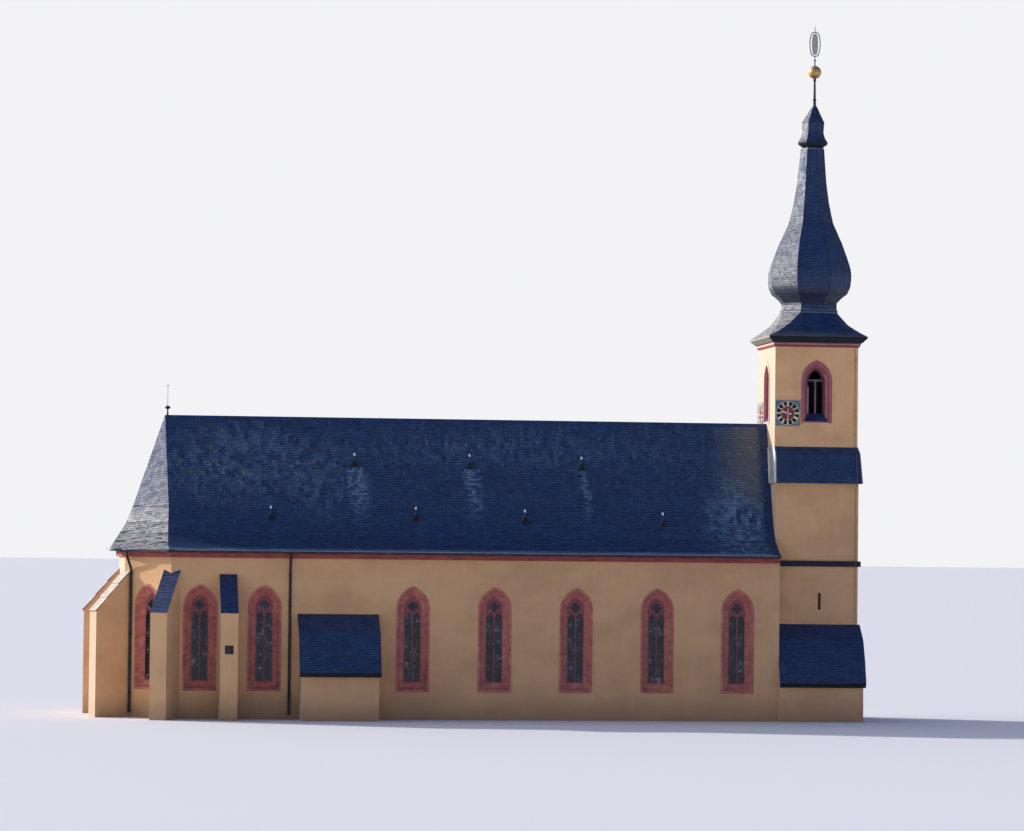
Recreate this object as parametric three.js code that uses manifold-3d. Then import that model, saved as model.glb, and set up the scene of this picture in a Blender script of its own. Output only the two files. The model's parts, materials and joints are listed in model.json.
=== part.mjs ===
// An old village church with a west tower, a long nave and a polygonal choir, as a 1:2 scale model.
// Every size below is the real church's, in metres. The finished meshes are in model millimetres.
// +X runs west along the nave, -Y is north and +Z is up. The origin is on the nave's axis, on the
// underside of the nave floor.
import * as THREE from 'three';
import { ConvexGeometry } from 'three/addons/geometries/ConvexGeometry.js';
import { mergeVertices } from 'three/addons/utils/BufferGeometryUtils.js';
import Module from 'manifold-3d';

const wasm = await Module();
wasm.setup();

const MODEL_SCALE = 1 / 2;
const MM_PER_METRE = 1000 * MODEL_SCALE;
const GAP = 0.0006;
const OVERSHOOT = 0.05;
const MERGE_DISTANCE = 1e-6;

// Plan of the walls' outer faces
const towerEast = 19.1;
const naveHalfWidth = 4.76;
const naveWest = towerEast - GAP;
const choirWest = -12.5;
const apseShoulder = -20.0;
const apseCornerX = -22.83;
const apseCornerY = 1.97;
const apseSkew = 0.27;
const wallThickness = 0.9;
const wallTop = 10.6;
const floorThickness = 0.15;

// Pointed windows of the nave and choir
const windowWidth = 2.1;
const windowSill = 1.8;
const windowSpring = 7.05;
const windowApex = 8.47;
const lightWidth = 1.05;
const lightSill = 2.4;
const lightApex = 7.85;
const splayDepth = 0.42;
const glassDepth = 0.44;
const glassThickness = 0.04;
const glassMargin = 0.25;
const choirWindows = [-18.15, -14.07];
const naveBay = 5.25;
const northNaveWindows = [1, 2, 3, 4, 5].map((bay) => choirWest + (bay + 0.5) * naveBay);
const southNaveWindows = [0, 1, 2, 3, 4, 5].map((bay) => choirWest + (bay + 0.5) * naveBay);

// Main roof: half width, reach beyond the ridge's east end and half width of the east slope
const ridgeHeight = 19.31;
const ridgeEast = -20.33;
const roofLevels = [
  { z: 10.6, side: 5.26, end: 3.43, tip: 2.15, shoulder: -0.15 },
  { z: 11.1, side: 4.2, end: 3.15, tip: 1.1, shoulder: -0.13 },
  { z: 11.65, side: 3.3, end: 2.81, tip: 0.45, shoulder: -0.16 },
  { z: 12.35, side: 2.74, end: 2.39, tip: 0.12, shoulder: -0.19 },
  { z: 13.4, side: 2.26, end: 1.98, tip: 0.04, shoulder: -0.22 },
];
const roofVoid = [
  { z: 10.5, side: 3.8, end: 1.75, tip: 1.2, shoulder: -0.3 },
  { z: 11.1, side: 3.6, end: 1.7, tip: 1.0, shoulder: -0.3 },
  { z: 11.65, side: 2.95, end: 1.65, tip: 0.6, shoulder: -0.4 },
  { z: 12.35, side: 2.42, end: 1.6, tip: 0.12, shoulder: -0.4 },
  { z: 13.4, side: 1.95, end: 1.35, tip: 0.04, shoulder: -0.4 },
];
const roofVoidTop = 18.4;

// Eaves
const corniceBottom = 10.18;
const corniceTop = 10.5;
const corniceReach = 0.2;
const gutterBottom = 10.52;
const gutterTop = 10.66;
const gutterReach = 0.62;
const gutterWidth = 0.13;
const gutterBed = 0.01;

// Buttresses of the choir
const buttressWidth = 1.1;
const endButtressWidth = 0.95;
const buttressReach = 2.2;
const buttressRoot = 1.0;
const copingTop = 9.15;
const copingFoot = 6.72;
const middleButtress = -16.4;
const nicheSize = 0.56;
const nicheBottom = 4.15;
const nicheDepth = 0.16;

// Downpipes
const pipeRadius = 0.085;
const pipeSides = 12;
const dividingPipe = -12.48;
const apsePipeInset = 0.62;
const pipeNeck = [[0.55, 10.45], [0.55, 10.32], [0.42, 10.05], [0.22, 9.68], [0.115, 9.4], [0.115, 9.2]];
const pipeFoot = 0.3;
const pipeBrackets = [1.3, 4.1, 6.9, 9.1];
const bracketSize = 0.06;

// Tower
const towerWidth = 5.5;
const lowerHalfDepth = 3.15;
const upperHalfDepth = 2.75;
const lowerWall = 1.1;
const upperWall = 0.85;
const stageHeight = 16.2;
const towerTop = 24.6;
const towerCentre = towerEast + towerWidth / 2;
const towerWest = towerEast + towerWidth;
const stringBottom = 10.0;
const stringTop = 10.36;
const stringReach = 0.16;
const slitWidth = 0.2;
const slitBottom = 7.2;
const slitTop = 8.28;
const slitOffset = 0.22;
const skirtLevels = [
  { z: 15.4, east: 0.08, west: 0.16, depth: 3.72 },
  { z: 17.32, east: 0.03, west: 0.08, depth: 3.26 },
  { z: 17.78, east: 0.012, west: 0.012, depth: 2.76 },
];
const towerCorniceLevels = [
  { z: 24.3, reach: 0.05 },
  { z: 24.42, reach: 0.12 },
  { z: 24.6, reach: 0.18 },
];

// Bell windows, a frame with two lights in each face of the upper stage
const bellWidth = 2.04;
const bellSill = 19.37;
const bellSpring = 22.09;
const bellApex = 23.44;
const bellLightWidth = 1.0;
const bellLightSill = 19.97;
const bellLightApex = 22.83;
const bellLightSpring = 22.0;
const bellSplay = 0.45;
const bellFrameDepth = 0.65;
const bellLip = 0.03;
const bellRimWidth = 1.64;
const bellRimSill = 19.45;
const bellRimApex = 23.2;
const mullionWidth = 0.15;
const lightBorder = 0.012;
const lightShoulder = 21.85;
const lightHead = 22.08;
const spandrelSill = 22.22;
const spandrelApex = 22.78;
const spandrelWidth = 0.8;

// Spire: a square foot that turns into an octagon, and the onion on it as pairs of height and radius
// to its corners. It leans a little to the west, more at its tip, and is twisted like many old ones.
const spireLean = 0.016;
const spireLeanFrom = 26.0;
const tipLean = 0.05;
const tipLeanFrom = 39.25;
const twistLow = -4.5;
const twistHigh = -13;
const twistFrom = 28.0;
const twistTo = 36.5;
const spireProfile = [
  [26.6 + GAP, 1.93], [26.75, 1.93], [26.85, 1.86], [27.3, 1.87], [27.62, 2.16], [27.9, 2.55], [28.35, 2.77],
  [29.0, 2.83], [29.45, 2.79], [29.85, 2.67], [30.4, 2.48], [31.2, 2.17], [32.0, 1.79], [32.6, 1.52],
  [33.87, 1.22], [35.3, 1.0], [36.75, 0.86], [37.55, 0.79],
];
const spireFoot = [
  { z: towerTop + GAP, half: 2.99, chamfer: 0.03 },
  { z: 24.88, half: 3.27, chamfer: 0.03 },
  { z: 24.97, half: 3.27, chamfer: 0.03 },
  { z: 25.3, half: 2.86, chamfer: 0.35, twist: -1 },
  { z: 25.8, half: 2.3, chamfer: 0.62, twist: -2 },
  { z: 26.6, half: 1.8, chamfer: 1.05, twist: twistLow },
];
const spireVoid = [
  [24.5, 2.2], [26.6, 1.45], [27.3, 1.5], [28.35, 2.2], [29.85, 2.1], [31.2, 1.6], [33.8, 0.4],
];
const capProfile = [
  [37.55, 0.62], [37.72, 0.84], [37.84, 1.03], [37.92, 1.03], [38.2, 0.83], [38.6, 0.71], [38.9, 0.73],
  [39.25, 0.76], [39.6, 0.56], [40.0, 0.24], [40.4, 0.1],
];

// Metalwork on the spire
const rodSections = [[40.4, 0.095], [42.3, 0.06]];
const ballHeight = 42.62;
const ballRadius = 0.43;
const upperRodTop = 43.75;
const upperRodRadius = 0.045;
const knobHeight = 43.4;
const knobRadius = 0.1;
const ringHeight = 44.48;
const ringHalfWidth = 0.36;
const ringHalfHeight = 0.82;
const ringTube = 0.036;
const ringPlateHalfWidth = 0.2;
const ringPlateHalfHeight = 0.68;
const ringPlateThickness = 0.03;
const topRodTop = 45.72;
const topRodRadius = 0.022;

// Clocks on the north and east faces
const clockHeight = 19.96;
const clockOffset = 0.84;
const clockPanel = 1.64;
const clockPlate = 0.05;
const arborRadius = 0.03;
const arborEnd = 0.108;
const arborCapRadius = 0.05;
const arborCapEnd = 0.118;
const handBore = 0.0316;
const handHub = 0.062;
const handThickness = 0.012;
const handWidest = 0.72;
const tailWidest = 0.75;
const tailTip = 0.6;
const hourHand = { front: 0.064, length: 0.47, tail: 0.24, root: 0.032, blade: 0.06, blunt: 0.016 };
const minuteHand = { front: 0.09, length: 0.72, tail: 0.31, root: 0.024, blade: 0.034, blunt: 0.014 };
const roundSides = 24;
const hourShown = 9.5;
const minuteShown = 30;

// Doorway in the tower's west face and the arch between tower and nave
const doorWidth = 1.7;
const doorSpring = 2.5;
const doorApex = 3.7;
const doorLeaf = 0.08;
const doorInset = 0.45;
const archWidth = 2.6;
const archSpring = 3.2;
const archApex = 5.0;

// Lean-to buildings on the north side
const leanToWall = 0.5;
const leanToRoofDepth = 0.286;
const leanToRoofSetBack = 0.11;
const vestry = {
  east: -11.85, west: -6.95, back: 4.76, verge: 0.12,
  slope: [[4.76, 6.68], [6.35, 5.55], [7.35, 3.05]], front: 7.05,
};
const annex = {
  east: 19.1, west: 24.6, back: 3.15, verge: 0.14,
  slope: [[3.15, 6.25], [4.3, 5.26], [4.9, 3.9], [5.3, 2.5]], front: 5.05,
};

// Finial on the east end of the ridge
const finialInset = 0.15;
const finialSections = [
  [19.2, 0.07], [19.68, 0.05], [19.72, 0.17], [19.93, 0.15], [20.0, 0.04], [20.6, 0.02], [21.3, 0.012],
];

const church = new THREE.Group();

const colours = {
  plaster: [0xb89c78, 0.92, 0],
  sandstone: [0x8a4a44, 0.9, 0],
  slate: [0x2f3a52, 0.6, 0],
  glass: [0x3a4450, 0.2, 0],
  zinc: [0x6f6660, 0.5, 0.6],
  flagstone: [0x8d877c, 0.9, 0],
  gilding: [0xd0a24c, 0.35, 0.9],
  iron: [0x2a2a2e, 0.6, 0.7],
  dialPaint: [0x4a5c86, 0.6, 0],
  oak: [0x5a4030, 0.7, 0],
};

// Turns a closed geometry into a solid that can be joined and cut.
function solid(geometry) {
  const bare = geometry.index ? geometry.toNonIndexed() : geometry.clone();
  bare.deleteAttribute('normal');
  if (bare.getAttribute('uv')) {
    bare.deleteAttribute('uv');
  }
  const merged = mergeVertices(bare, MERGE_DISTANCE);
  return new wasm.Manifold(new wasm.Mesh({
    numProp: 3,
    vertProperties: new Float32Array(merged.attributes.position.array),
    triVerts: new Uint32Array(merged.index.array),
  }));
}

function geometryOf(body) {
  const mesh = body.getMesh();
  const geometry = new THREE.BufferGeometry();
  geometry.setAttribute('position', new THREE.BufferAttribute(new Float32Array(mesh.vertProperties), 3));
  geometry.setIndex(new THREE.BufferAttribute(new Uint32Array(mesh.triVerts), 1));
  geometry.scale(MM_PER_METRE, MM_PER_METRE, MM_PER_METRE);
  geometry.computeVertexNormals();
  return geometry;
}

function addPiece(name, finish, body, parent = church) {
  const [color, roughness, metalness] = colours[finish];
  const material = new THREE.MeshStandardMaterial({ color, roughness, metalness });
  const mesh = new THREE.Mesh(geometryOf(body), material);
  mesh.name = name;
  parent.add(mesh);
}

function placedGroup(x, y, z, turn) {
  const group = new THREE.Group();
  group.position.set(x, y, z).multiplyScalar(MM_PER_METRE);
  group.rotation.z = turn;
  church.add(group);
  return group;
}

function joined(bodies) {
  return bodies.reduce((sum, body) => sum.add(body));
}

function box(x0, x1, y0, y1, z0, z1) {
  const geometry = new THREE.BoxGeometry(x1 - x0, y1 - y0, z1 - z0);
  geometry.translate((x0 + x1) / 2, (y0 + y1) / 2, (z0 + z1) / 2);
  return solid(geometry);
}

function hull(points) {
  return solid(new ConvexGeometry(points.map(([x, y, z]) => new THREE.Vector3(x, y, z))));
}

// Stacks convex slices, one between each ring of points and the next.
function stack(rings) {
  return joined(rings.slice(1).map((ring, i) => hull([...rings[i], ...ring])));
}

// Upright prism over a plan outline.
function prism(plan, z0, z1) {
  const shape = new THREE.Shape(plan.map(([x, y]) => new THREE.Vector2(x, y)));
  const geometry = new THREE.ExtrudeGeometry(shape, { depth: z1 - z0, bevelEnabled: false });
  geometry.translate(0, 0, z0);
  return solid(geometry);
}

// Round or many-sided upright body from pairs of height and radius, on an axis that gives its place
// and turn at each height.
function turned(sections, sides, axis) {
  const rings = sections.map(([z, radius]) => {
    const [cx, cy, turn = 0] = axis(z);
    return Array.from({ length: sides }, (_, i) => {
      const angle = turn + (2 * Math.PI * i) / sides;
      return [cx + radius * Math.cos(angle), cy + radius * Math.sin(angle), z];
    });
  });
  return stack(rings);
}

// Outline of a pointed opening, as pairs of sideways place and height.
function pointedOutline(width, sill, spring, apex, steps = 6) {
  const half = width / 2;
  const rise = apex - spring;
  const radius = (half * half + rise * rise) / width;
  const sweep = Math.asin(rise / radius);
  const right = Array.from({ length: steps + 1 }, (_, i) => {
    const angle = (sweep * i) / steps;
    return [half - radius + radius * Math.cos(angle), spring + radius * Math.sin(angle)];
  });
  const left = right.slice(0, -1).reverse().map(([x, z]) => [-x, z]);
  return [[-half, sill], [half, sill], ...right, ...left];
}

// A prism or a splayed body between two upright outlines. Sideways is x, outwards is -y.
function between(front, frontY, back, backY) {
  return hull([...front.map(([x, z]) => [x, frontY, z]), ...back.map(([x, z]) => [x, backY, z])]);
}

// The space that one pointed window cuts from a wall whose outer face is y = 0, inside at +y.
function windowSpace(thickness) {
  const outer = pointedOutline(windowWidth, windowSill, windowSpring, windowApex);
  const inner = pointedOutline(lightWidth, lightSill, windowSpring, lightApex);
  const grow = OVERSHOOT / splayDepth;
  const flared = outer.map(([x, z], i) => [x + (x - inner[i][0]) * grow, z + (z - inner[i][1]) * grow]);
  const splay = between(flared, -OVERSHOOT, inner, splayDepth);
  const through = between(inner, splayDepth - OVERSHOOT, inner, thickness + OVERSHOOT);
  return splay.add(through);
}

function turnedAt(body, x, y, turn) {
  const matrix = new THREE.Matrix4().makeRotationZ(turn).setPosition(x, y, 0);
  return body.transform(matrix.toArray());
}

// Plan points of a wall's corners moved inwards by a distance, with mitred corners.
function offsetPlan(points, distance) {
  const lines = points.slice(1).map((b, i) => {
    const a = points[i];
    const length = Math.hypot(b[0] - a[0], b[1] - a[1]);
    const along = [(b[0] - a[0]) / length, (b[1] - a[1]) / length];
    const inward = [along[1], -along[0]];
    return { start: [a[0] + inward[0] * distance, a[1] + inward[1] * distance], along };
  });
  const meet = (p, q) => {
    const cross = p.along[0] * q.along[1] - p.along[1] * q.along[0];
    const dx = q.start[0] - p.start[0];
    const dy = q.start[1] - p.start[1];
    const t = (dx * q.along[1] - dy * q.along[0]) / cross;
    return [p.start[0] + p.along[0] * t, p.start[1] + p.along[1] * t];
  };
  const first = lines[0].start;
  const last = lines[lines.length - 1];
  const end = points[points.length - 1];
  const result = [first];
  for (let i = 1; i < lines.length; i += 1) {
    result.push(meet(lines[i - 1], lines[i]));
  }
  result.push([end[0], last.start[1]]);
  return result;
}

const wallPlan = [
  [naveWest, -naveHalfWidth], [apseShoulder, -naveHalfWidth], [apseCornerX, -apseCornerY],
  [apseCornerX - apseSkew, apseCornerY], [apseShoulder, naveHalfWidth], [naveWest, naveHalfWidth],
];
const innerPlan = offsetPlan(wallPlan, wallThickness);

function makeStraightWall(name, side, west, east, eastInner, centres) {
  const outer = side * naveHalfWidth;
  const inner = side * (naveHalfWidth - wallThickness);
  const plan = [[west, outer], [east, outer], [eastInner, inner], [west, inner]];
  let wall = prism(plan, 0, wallTop);
  for (const x of centres) {
    wall = wall.subtract(turnedAt(windowSpace(wallThickness), x, outer, side < 0 ? 0 : Math.PI));
  }
  addPiece(name, 'plaster', wall);
}

function makeNaveAndChoirWalls() {
  const shoulderInner = innerPlan[1][0];
  for (const [side, word, naveCentres] of [[-1, 'north', northNaveWindows], [1, 'south', southNaveWindows]]) {
    const inner = side < 0 ? shoulderInner : innerPlan[4][0];
    makeStraightWall(`choir_${word}_wall`, side, choirWest, apseShoulder + GAP, inner + GAP, choirWindows);
    makeStraightWall(`nave_${word}_wall`, side, naveWest, choirWest + GAP, choirWest + GAP, naveCentres);
  }
}

// One side of the apse between two corners of the plan, with its window in the middle.
function makeApseWall(name, index) {
  const [a, b] = [wallPlan[index], wallPlan[index + 1]];
  const [innerA, innerB] = [innerPlan[index], innerPlan[index + 1]];
  const turn = Math.atan2(a[1] - b[1], a[0] - b[0]);
  const inset = ([x, y], [towardsX, towardsY]) => {
    const length = Math.hypot(towardsX - x, towardsY - y);
    return [x + ((towardsX - x) * GAP) / length, y + ((towardsY - y) * GAP) / length];
  };
  const plan = [inset(a, b), inset(b, a), inset(innerB, innerA), inset(innerA, innerB)];
  const middle = [(a[0] + b[0]) / 2, (a[1] + b[1]) / 2];
  const space = turnedAt(windowSpace(wallThickness), middle[0], middle[1], turn);
  addPiece(`${name}_wall`, 'plaster', prism(plan, 0, wallTop).subtract(space));
  const pane = pointedOutline(lightWidth - 4 * GAP, lightSill + 2 * GAP, windowSpring, lightApex - 4 * GAP);
  const glass = between(pane, glassDepth, pane, glassDepth + glassThickness);
  addPiece(`${name}_glass`, 'glass', turnedAt(glass, middle[0], middle[1], turn));
}

function makeGlassSheets() {
  const sheets = [
    ['choir_north_glass', -1, choirWindows], ['choir_south_glass', 1, choirWindows],
    ['nave_north_glass', -1, northNaveWindows], ['nave_south_glass', 1, southNaveWindows],
  ];
  const sheetBottom = lightSill - glassMargin;
  const sheetTop = lightApex + glassMargin;
  for (const [name, side, centres] of sheets) {
    const west = Math.max(...centres) + lightWidth / 2 + glassMargin;
    const east = Math.min(...centres) - lightWidth / 2 - glassMargin;
    const face = naveHalfWidth - wallThickness - GAP;
    const faces = [side * face, side * (face - glassThickness)].sort((p, q) => p - q);
    addPiece(name, 'glass', box(east, west, faces[0], faces[1], sheetBottom, sheetTop));
  }
}

function roofRing(level, grow = 0) {
  const { z, side, end, tip, shoulder } = level;
  const west = towerEast - GAP;
  return [
    [west, -side - grow, z], [ridgeEast - shoulder - grow, -side - grow, z],
    [ridgeEast - end - grow, -tip - grow, z], [ridgeEast - end - grow, tip + grow, z],
    [ridgeEast - shoulder - grow, side + grow, z], [west, side + grow, z],
  ];
}

function roofBody(levels, top, ridgeStart, grow = 0) {
  const ridge = [[towerEast - GAP, 0, top + grow], [ridgeStart, 0, top + grow]];
  return stack([...levels.map((level) => roofRing(level, grow)), ridge]);
}

function roofSpaceUnder() {
  return roofBody(roofVoid, roofVoidTop, ridgeEast);
}

function makeMainRoof() {
  const shell = roofBody(roofLevels, ridgeHeight, ridgeEast).subtract(roofSpaceUnder());
  addPiece('main_roof', 'slate', shell);
}

function makeGableWall() {
  const half = naveHalfWidth - wallThickness - GAP;
  const inside = roofSpaceUnder().trimByPlane([0, 0, 1], wallTop - OVERSHOOT);
  const east = naveWest - wallThickness;
  const panel = box(east, naveWest, -half, half, 0, roofVoidTop);
  const lower = box(east, naveWest, -half, half, 0, wallTop - GAP);
  const upper = panel.intersect(shrunkRoofSpace(inside));
  const arch = pointedOutline(archWidth, floorThickness, archSpring, archApex);
  const archSpace = between(arch, -OVERSHOOT, arch, wallThickness + OVERSHOOT);
  const wall = lower.add(upper).subtract(turnedAt(archSpace, naveWest, 0, Math.PI / 2));
  addPiece('west_gable_wall', 'plaster', wall);
}

// The space under the roof drawn in a little, so that the gable stands just clear of the slates.
function shrunkRoofSpace(space) {
  return space.intersect(space.translate([0, 2 * GAP, 0])).intersect(space.translate([0, -2 * GAP, 0]));
}

function makeFloors() {
  const inset = offsetPlan(wallPlan, wallThickness + GAP);
  inset[0][0] = naveWest - wallThickness - GAP;
  inset[5][0] = naveWest - wallThickness - GAP;
  addPiece('nave_floor', 'flagstone', prism(inset, 0, floorThickness));
  const half = lowerHalfDepth - lowerWall - GAP;
  const [east, west] = [towerEast + lowerWall + GAP, towerWest - lowerWall - GAP];
  addPiece('tower_floor', 'flagstone', box(east, west, -half, half, 0, floorThickness));
}

// A band of even width that follows the walls' plan round the choir.
function planBand(innerReach, outerReach, z0, z1) {
  const outer = offsetPlan(wallPlan, -outerReach);
  const inner = offsetPlan(wallPlan, -innerReach);
  return prism([...outer, ...inner.reverse()], z0, z1);
}

function makeEaves() {
  addPiece('eaves_cornice', 'sandstone', planBand(GAP, corniceReach, corniceBottom, corniceTop));
}

function makeGutter() {
  const trough = planBand(gutterReach - gutterWidth, gutterReach, gutterBottom, gutterTop);
  const channel = planBand(gutterReach - gutterWidth + gutterBed, gutterReach - gutterBed,
    gutterBottom + gutterBed, gutterTop + OVERSHOOT);
  const roof = roofBody(roofLevels, ridgeHeight, ridgeEast, GAP);
  addPiece('eaves_gutter', 'zinc', trough.subtract(channel).subtract(roof));
}

// A buttress against the plan, pointing outwards from a place on it by an angle.
function makeButtress(name, x, y, angle, width, niche = false) {
  const slope = (copingTop - copingFoot) / buttressReach;
  const profile = [
    [-buttressRoot, 0], [buttressReach, 0], [buttressReach, copingFoot],
    [-buttressRoot, copingTop + slope * buttressRoot],
  ];
  const sides = [-width / 2, width / 2];
  let body = hull(sides.flatMap((side) => profile.map(([reach, z]) => [reach, side, z])));
  if (niche) {
    const half = nicheSize / 2;
    body = body.subtract(box(buttressReach - nicheDepth, buttressReach + OVERSHOOT, -half, half,
      nicheBottom, nicheBottom + nicheSize));
  }
  const walls = prism(offsetPlan(wallPlan, -GAP), -OVERSHOOT, wallTop + OVERSHOOT);
  addPiece(name, 'plaster', turnedAt(body, x, y, angle).subtract(walls));
}

function outwardBisector(index) {
  const outer = offsetPlan(wallPlan, -1)[index];
  return Math.atan2(outer[1] - wallPlan[index][1], outer[0] - wallPlan[index][0]);
}

function makeButtresses() {
  const corners = [
    ['buttress_north', 1, buttressWidth], ['buttress_north_east', 2, endButtressWidth],
    ['buttress_south_east', 3, endButtressWidth], ['buttress_south', 4, buttressWidth],
  ];
  for (const [name, index, width] of corners) {
    makeButtress(name, ...wallPlan[index], outwardBisector(index), width);
  }
  makeButtress('buttress_choir_north', middleButtress, -naveHalfWidth, -Math.PI / 2, buttressWidth, true);
  makeButtress('buttress_choir_south', middleButtress, naveHalfWidth, Math.PI / 2, buttressWidth);
}

// A downpipe on a wall: the gutter's outlet, a swan neck in pairs of distance from the wall and height,
// and a straight length held off the wall by brackets.
function makeDownpipe(name, x, y, outwards) {
  const at = (reach) => [x + Math.cos(outwards) * reach, y + Math.sin(outwards) * reach];
  const upright = (reach, z0, z1) => {
    return turned([[z0, pipeRadius], [z1, pipeRadius]], pipeSides, () => at(reach));
  };
  const points = pipeNeck.map(([reach, z]) => new THREE.Vector3(...at(reach), z));
  const extrudePath = new THREE.CatmullRomCurve3(points, false, 'centripetal');
  const section = new THREE.Shape(Array.from({ length: pipeSides }, (_, i) => {
    const angle = (2 * Math.PI * i) / pipeSides;
    return new THREE.Vector2(pipeRadius * Math.cos(angle), pipeRadius * Math.sin(angle));
  }));
  const neck = solid(new THREE.ExtrudeGeometry(section, { steps: 12, extrudePath }));
  const [topReach, topHeight] = pipeNeck[0];
  const outlet = upright(topReach, topHeight - OVERSHOOT, gutterBottom - GAP);
  const [reach, height] = pipeNeck[pipeNeck.length - 1];
  const straight = upright(reach, pipeFoot, height + OVERSHOOT);
  const half = bracketSize / 2;
  const brackets = pipeBrackets.map((z) => {
    return turnedAt(box(GAP, reach, -half, half, z - half, z + half), x, y, outwards);
  });
  addPiece(name, 'zinc', joined([neck, outlet, straight, ...brackets]));
}

function makeDownpipes() {
  makeDownpipe('downpipe_nave_north', dividingPipe, -naveHalfWidth, -Math.PI / 2);
  makeDownpipe('downpipe_nave_south', dividingPipe, naveHalfWidth, Math.PI / 2);
  const sides = [['downpipe_apse_north', 2, 1], ['downpipe_apse_south', 3, 4]];
  for (const [name, corner, shoulder] of sides) {
    const [x, y] = wallPlan[corner];
    const [otherX, otherY] = wallPlan[shoulder];
    const length = Math.hypot(otherX - x, otherY - y);
    const along = [(otherX - x) / length, (otherY - y) / length];
    const outwards = Math.atan2(-Math.sign(-y) * along[0], Math.sign(-y) * along[1]);
    makeDownpipe(name, x + along[0] * apsePipeInset, y + along[1] * apsePipeInset, outwards);
  }
}

function makeLowerStage() {
  const outer = box(towerEast, towerWest, -lowerHalfDepth, lowerHalfDepth, 0, stageHeight);
  const inner = box(towerEast + lowerWall, towerWest - lowerWall, -lowerHalfDepth + lowerWall,
    lowerHalfDepth - lowerWall, -OVERSHOOT, stageHeight + OVERSHOOT);
  const slitX = towerCentre + slitOffset;
  const slits = box(slitX - slitWidth / 2, slitX + slitWidth / 2, -lowerHalfDepth - OVERSHOOT,
    lowerHalfDepth + OVERSHOOT, slitBottom, slitTop);
  const door = pointedOutline(doorWidth, floorThickness, doorSpring, doorApex);
  const doorway = between(door, -OVERSHOOT, door, lowerWall + OVERSHOOT);
  const arch = pointedOutline(archWidth, floorThickness, archSpring, archApex);
  const archway = between(arch, -OVERSHOOT, arch, lowerWall + OVERSHOOT);
  const walls = outer.subtract(inner).subtract(slits)
    .subtract(turnedAt(doorway, towerWest, 0, Math.PI / 2))
    .subtract(turnedAt(archway, towerEast, 0, -Math.PI / 2));
  addPiece('tower_lower_stage', 'plaster', walls);
  const leaf = pointedOutline(doorWidth - 4 * GAP, floorThickness + GAP, doorSpring, doorApex - 3 * GAP);
  const board = between(leaf, doorInset, leaf, doorInset + doorLeaf);
  addPiece('west_door', 'oak', turnedAt(board, towerWest, 0, Math.PI / 2));
}

function towerRing(levels, reachOf) {
  return stack(levels.map((level) => {
    const [east, west, depth] = reachOf(level);
    return [
      [towerEast - east, -depth, level.z], [towerWest + west, -depth, level.z],
      [towerWest + west, depth, level.z], [towerEast - east, depth, level.z],
    ];
  }));
}

function stageBlock(halfDepth, z0, z1) {
  return box(towerEast - GAP, towerWest + GAP, -halfDepth - GAP, halfDepth + GAP, z0, z1);
}

function makeTowerBands() {
  const half = lowerHalfDepth + stringReach;
  const string = box(towerEast + GAP, towerWest + stringReach, -half, half, stringBottom, stringTop);
  addPiece('tower_string_course', 'sandstone', string.subtract(stageBlock(lowerHalfDepth, 0, stageHeight)));
  const skirt = towerRing(skirtLevels, ({ east, west, depth }) => [east, west, depth])
    .subtract(stageBlock(lowerHalfDepth, 0, stageHeight + GAP))
    .subtract(stageBlock(upperHalfDepth, stageHeight, towerTop))
    .subtract(roofBody(roofLevels, ridgeHeight, ridgeEast, 2 * GAP));
  addPiece('tower_skirt_roof', 'slate', skirt);
  const cornice = towerRing(towerCorniceLevels, ({ reach }) => [reach, reach, upperHalfDepth + reach])
    .subtract(stageBlock(upperHalfDepth, stageHeight, towerTop + OVERSHOOT));
  addPiece('tower_cornice', 'sandstone', cornice);
}

const faces = [
  { word: 'north', x: towerCentre, y: -upperHalfDepth, turn: 0 },
  { word: 'east', x: towerEast, y: 0, turn: -Math.PI / 2 },
  { word: 'south', x: towerCentre, y: upperHalfDepth, turn: Math.PI },
  { word: 'west', x: towerWest, y: 0, turn: Math.PI / 2 },
];

function makeUpperStage() {
  const inside = box(towerEast + upperWall, towerWest - upperWall, -upperHalfDepth + upperWall,
    upperHalfDepth - upperWall, stageHeight - OVERSHOOT, towerTop + OVERSHOOT);
  let walls = box(towerEast, towerWest, -upperHalfDepth, upperHalfDepth, stageHeight + GAP, towerTop)
    .subtract(inside);
  const hole = pointedOutline(bellWidth, bellSill, bellSpring, bellApex);
  const space = between(hole, -OVERSHOOT, hole, upperWall + OVERSHOOT);
  for (const { x, y, turn } of faces) {
    walls = walls.subtract(turnedAt(space, x, y, turn));
  }
  addPiece('tower_upper_stage', 'plaster', walls);
}

// Stone frame of a bell window: a splayed surround round a plate with two pointed lights.
function bellFrame() {
  const outer = pointedOutline(bellWidth - 4 * GAP, bellSill + GAP, bellSpring, bellApex - 4 * GAP);
  const rim = pointedOutline(bellRimWidth, bellRimSill, bellSpring, bellRimApex);
  const inner = pointedOutline(bellLightWidth, bellLightSill, bellLightSpring, bellLightApex);
  const block = between(outer, -bellLip, outer, bellFrameDepth);
  const splay = between(rim, -bellLip - GAP, inner, bellSplay);
  const lights = [-1, 1].map((side) => {
    const width = (bellLightWidth - mullionWidth) / 2 - lightBorder;
    const shift = side * (mullionWidth / 2 + width / 2);
    const outline = pointedOutline(width, bellLightSill + lightBorder, lightShoulder, lightHead);
    const moved = outline.map(([x, z]) => [x + shift, z]);
    return between(moved, bellSplay - OVERSHOOT, moved, bellFrameDepth + OVERSHOOT);
  });
  const top = pointedOutline(spandrelWidth, spandrelSill, spandrelSill + GAP, spandrelApex);
  const spandrel = between(top, bellSplay - OVERSHOOT, top, bellFrameDepth + OVERSHOOT);
  return block.subtract(splay).subtract(lights[0]).subtract(lights[1]).subtract(spandrel);
}

function makeBellWindows() {
  const frame = bellFrame();
  for (const { word, x, y, turn } of faces) {
    addPiece(`bell_window_${word}`, 'sandstone', frame, placedGroup(x, y, 0, turn));
  }
}

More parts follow.
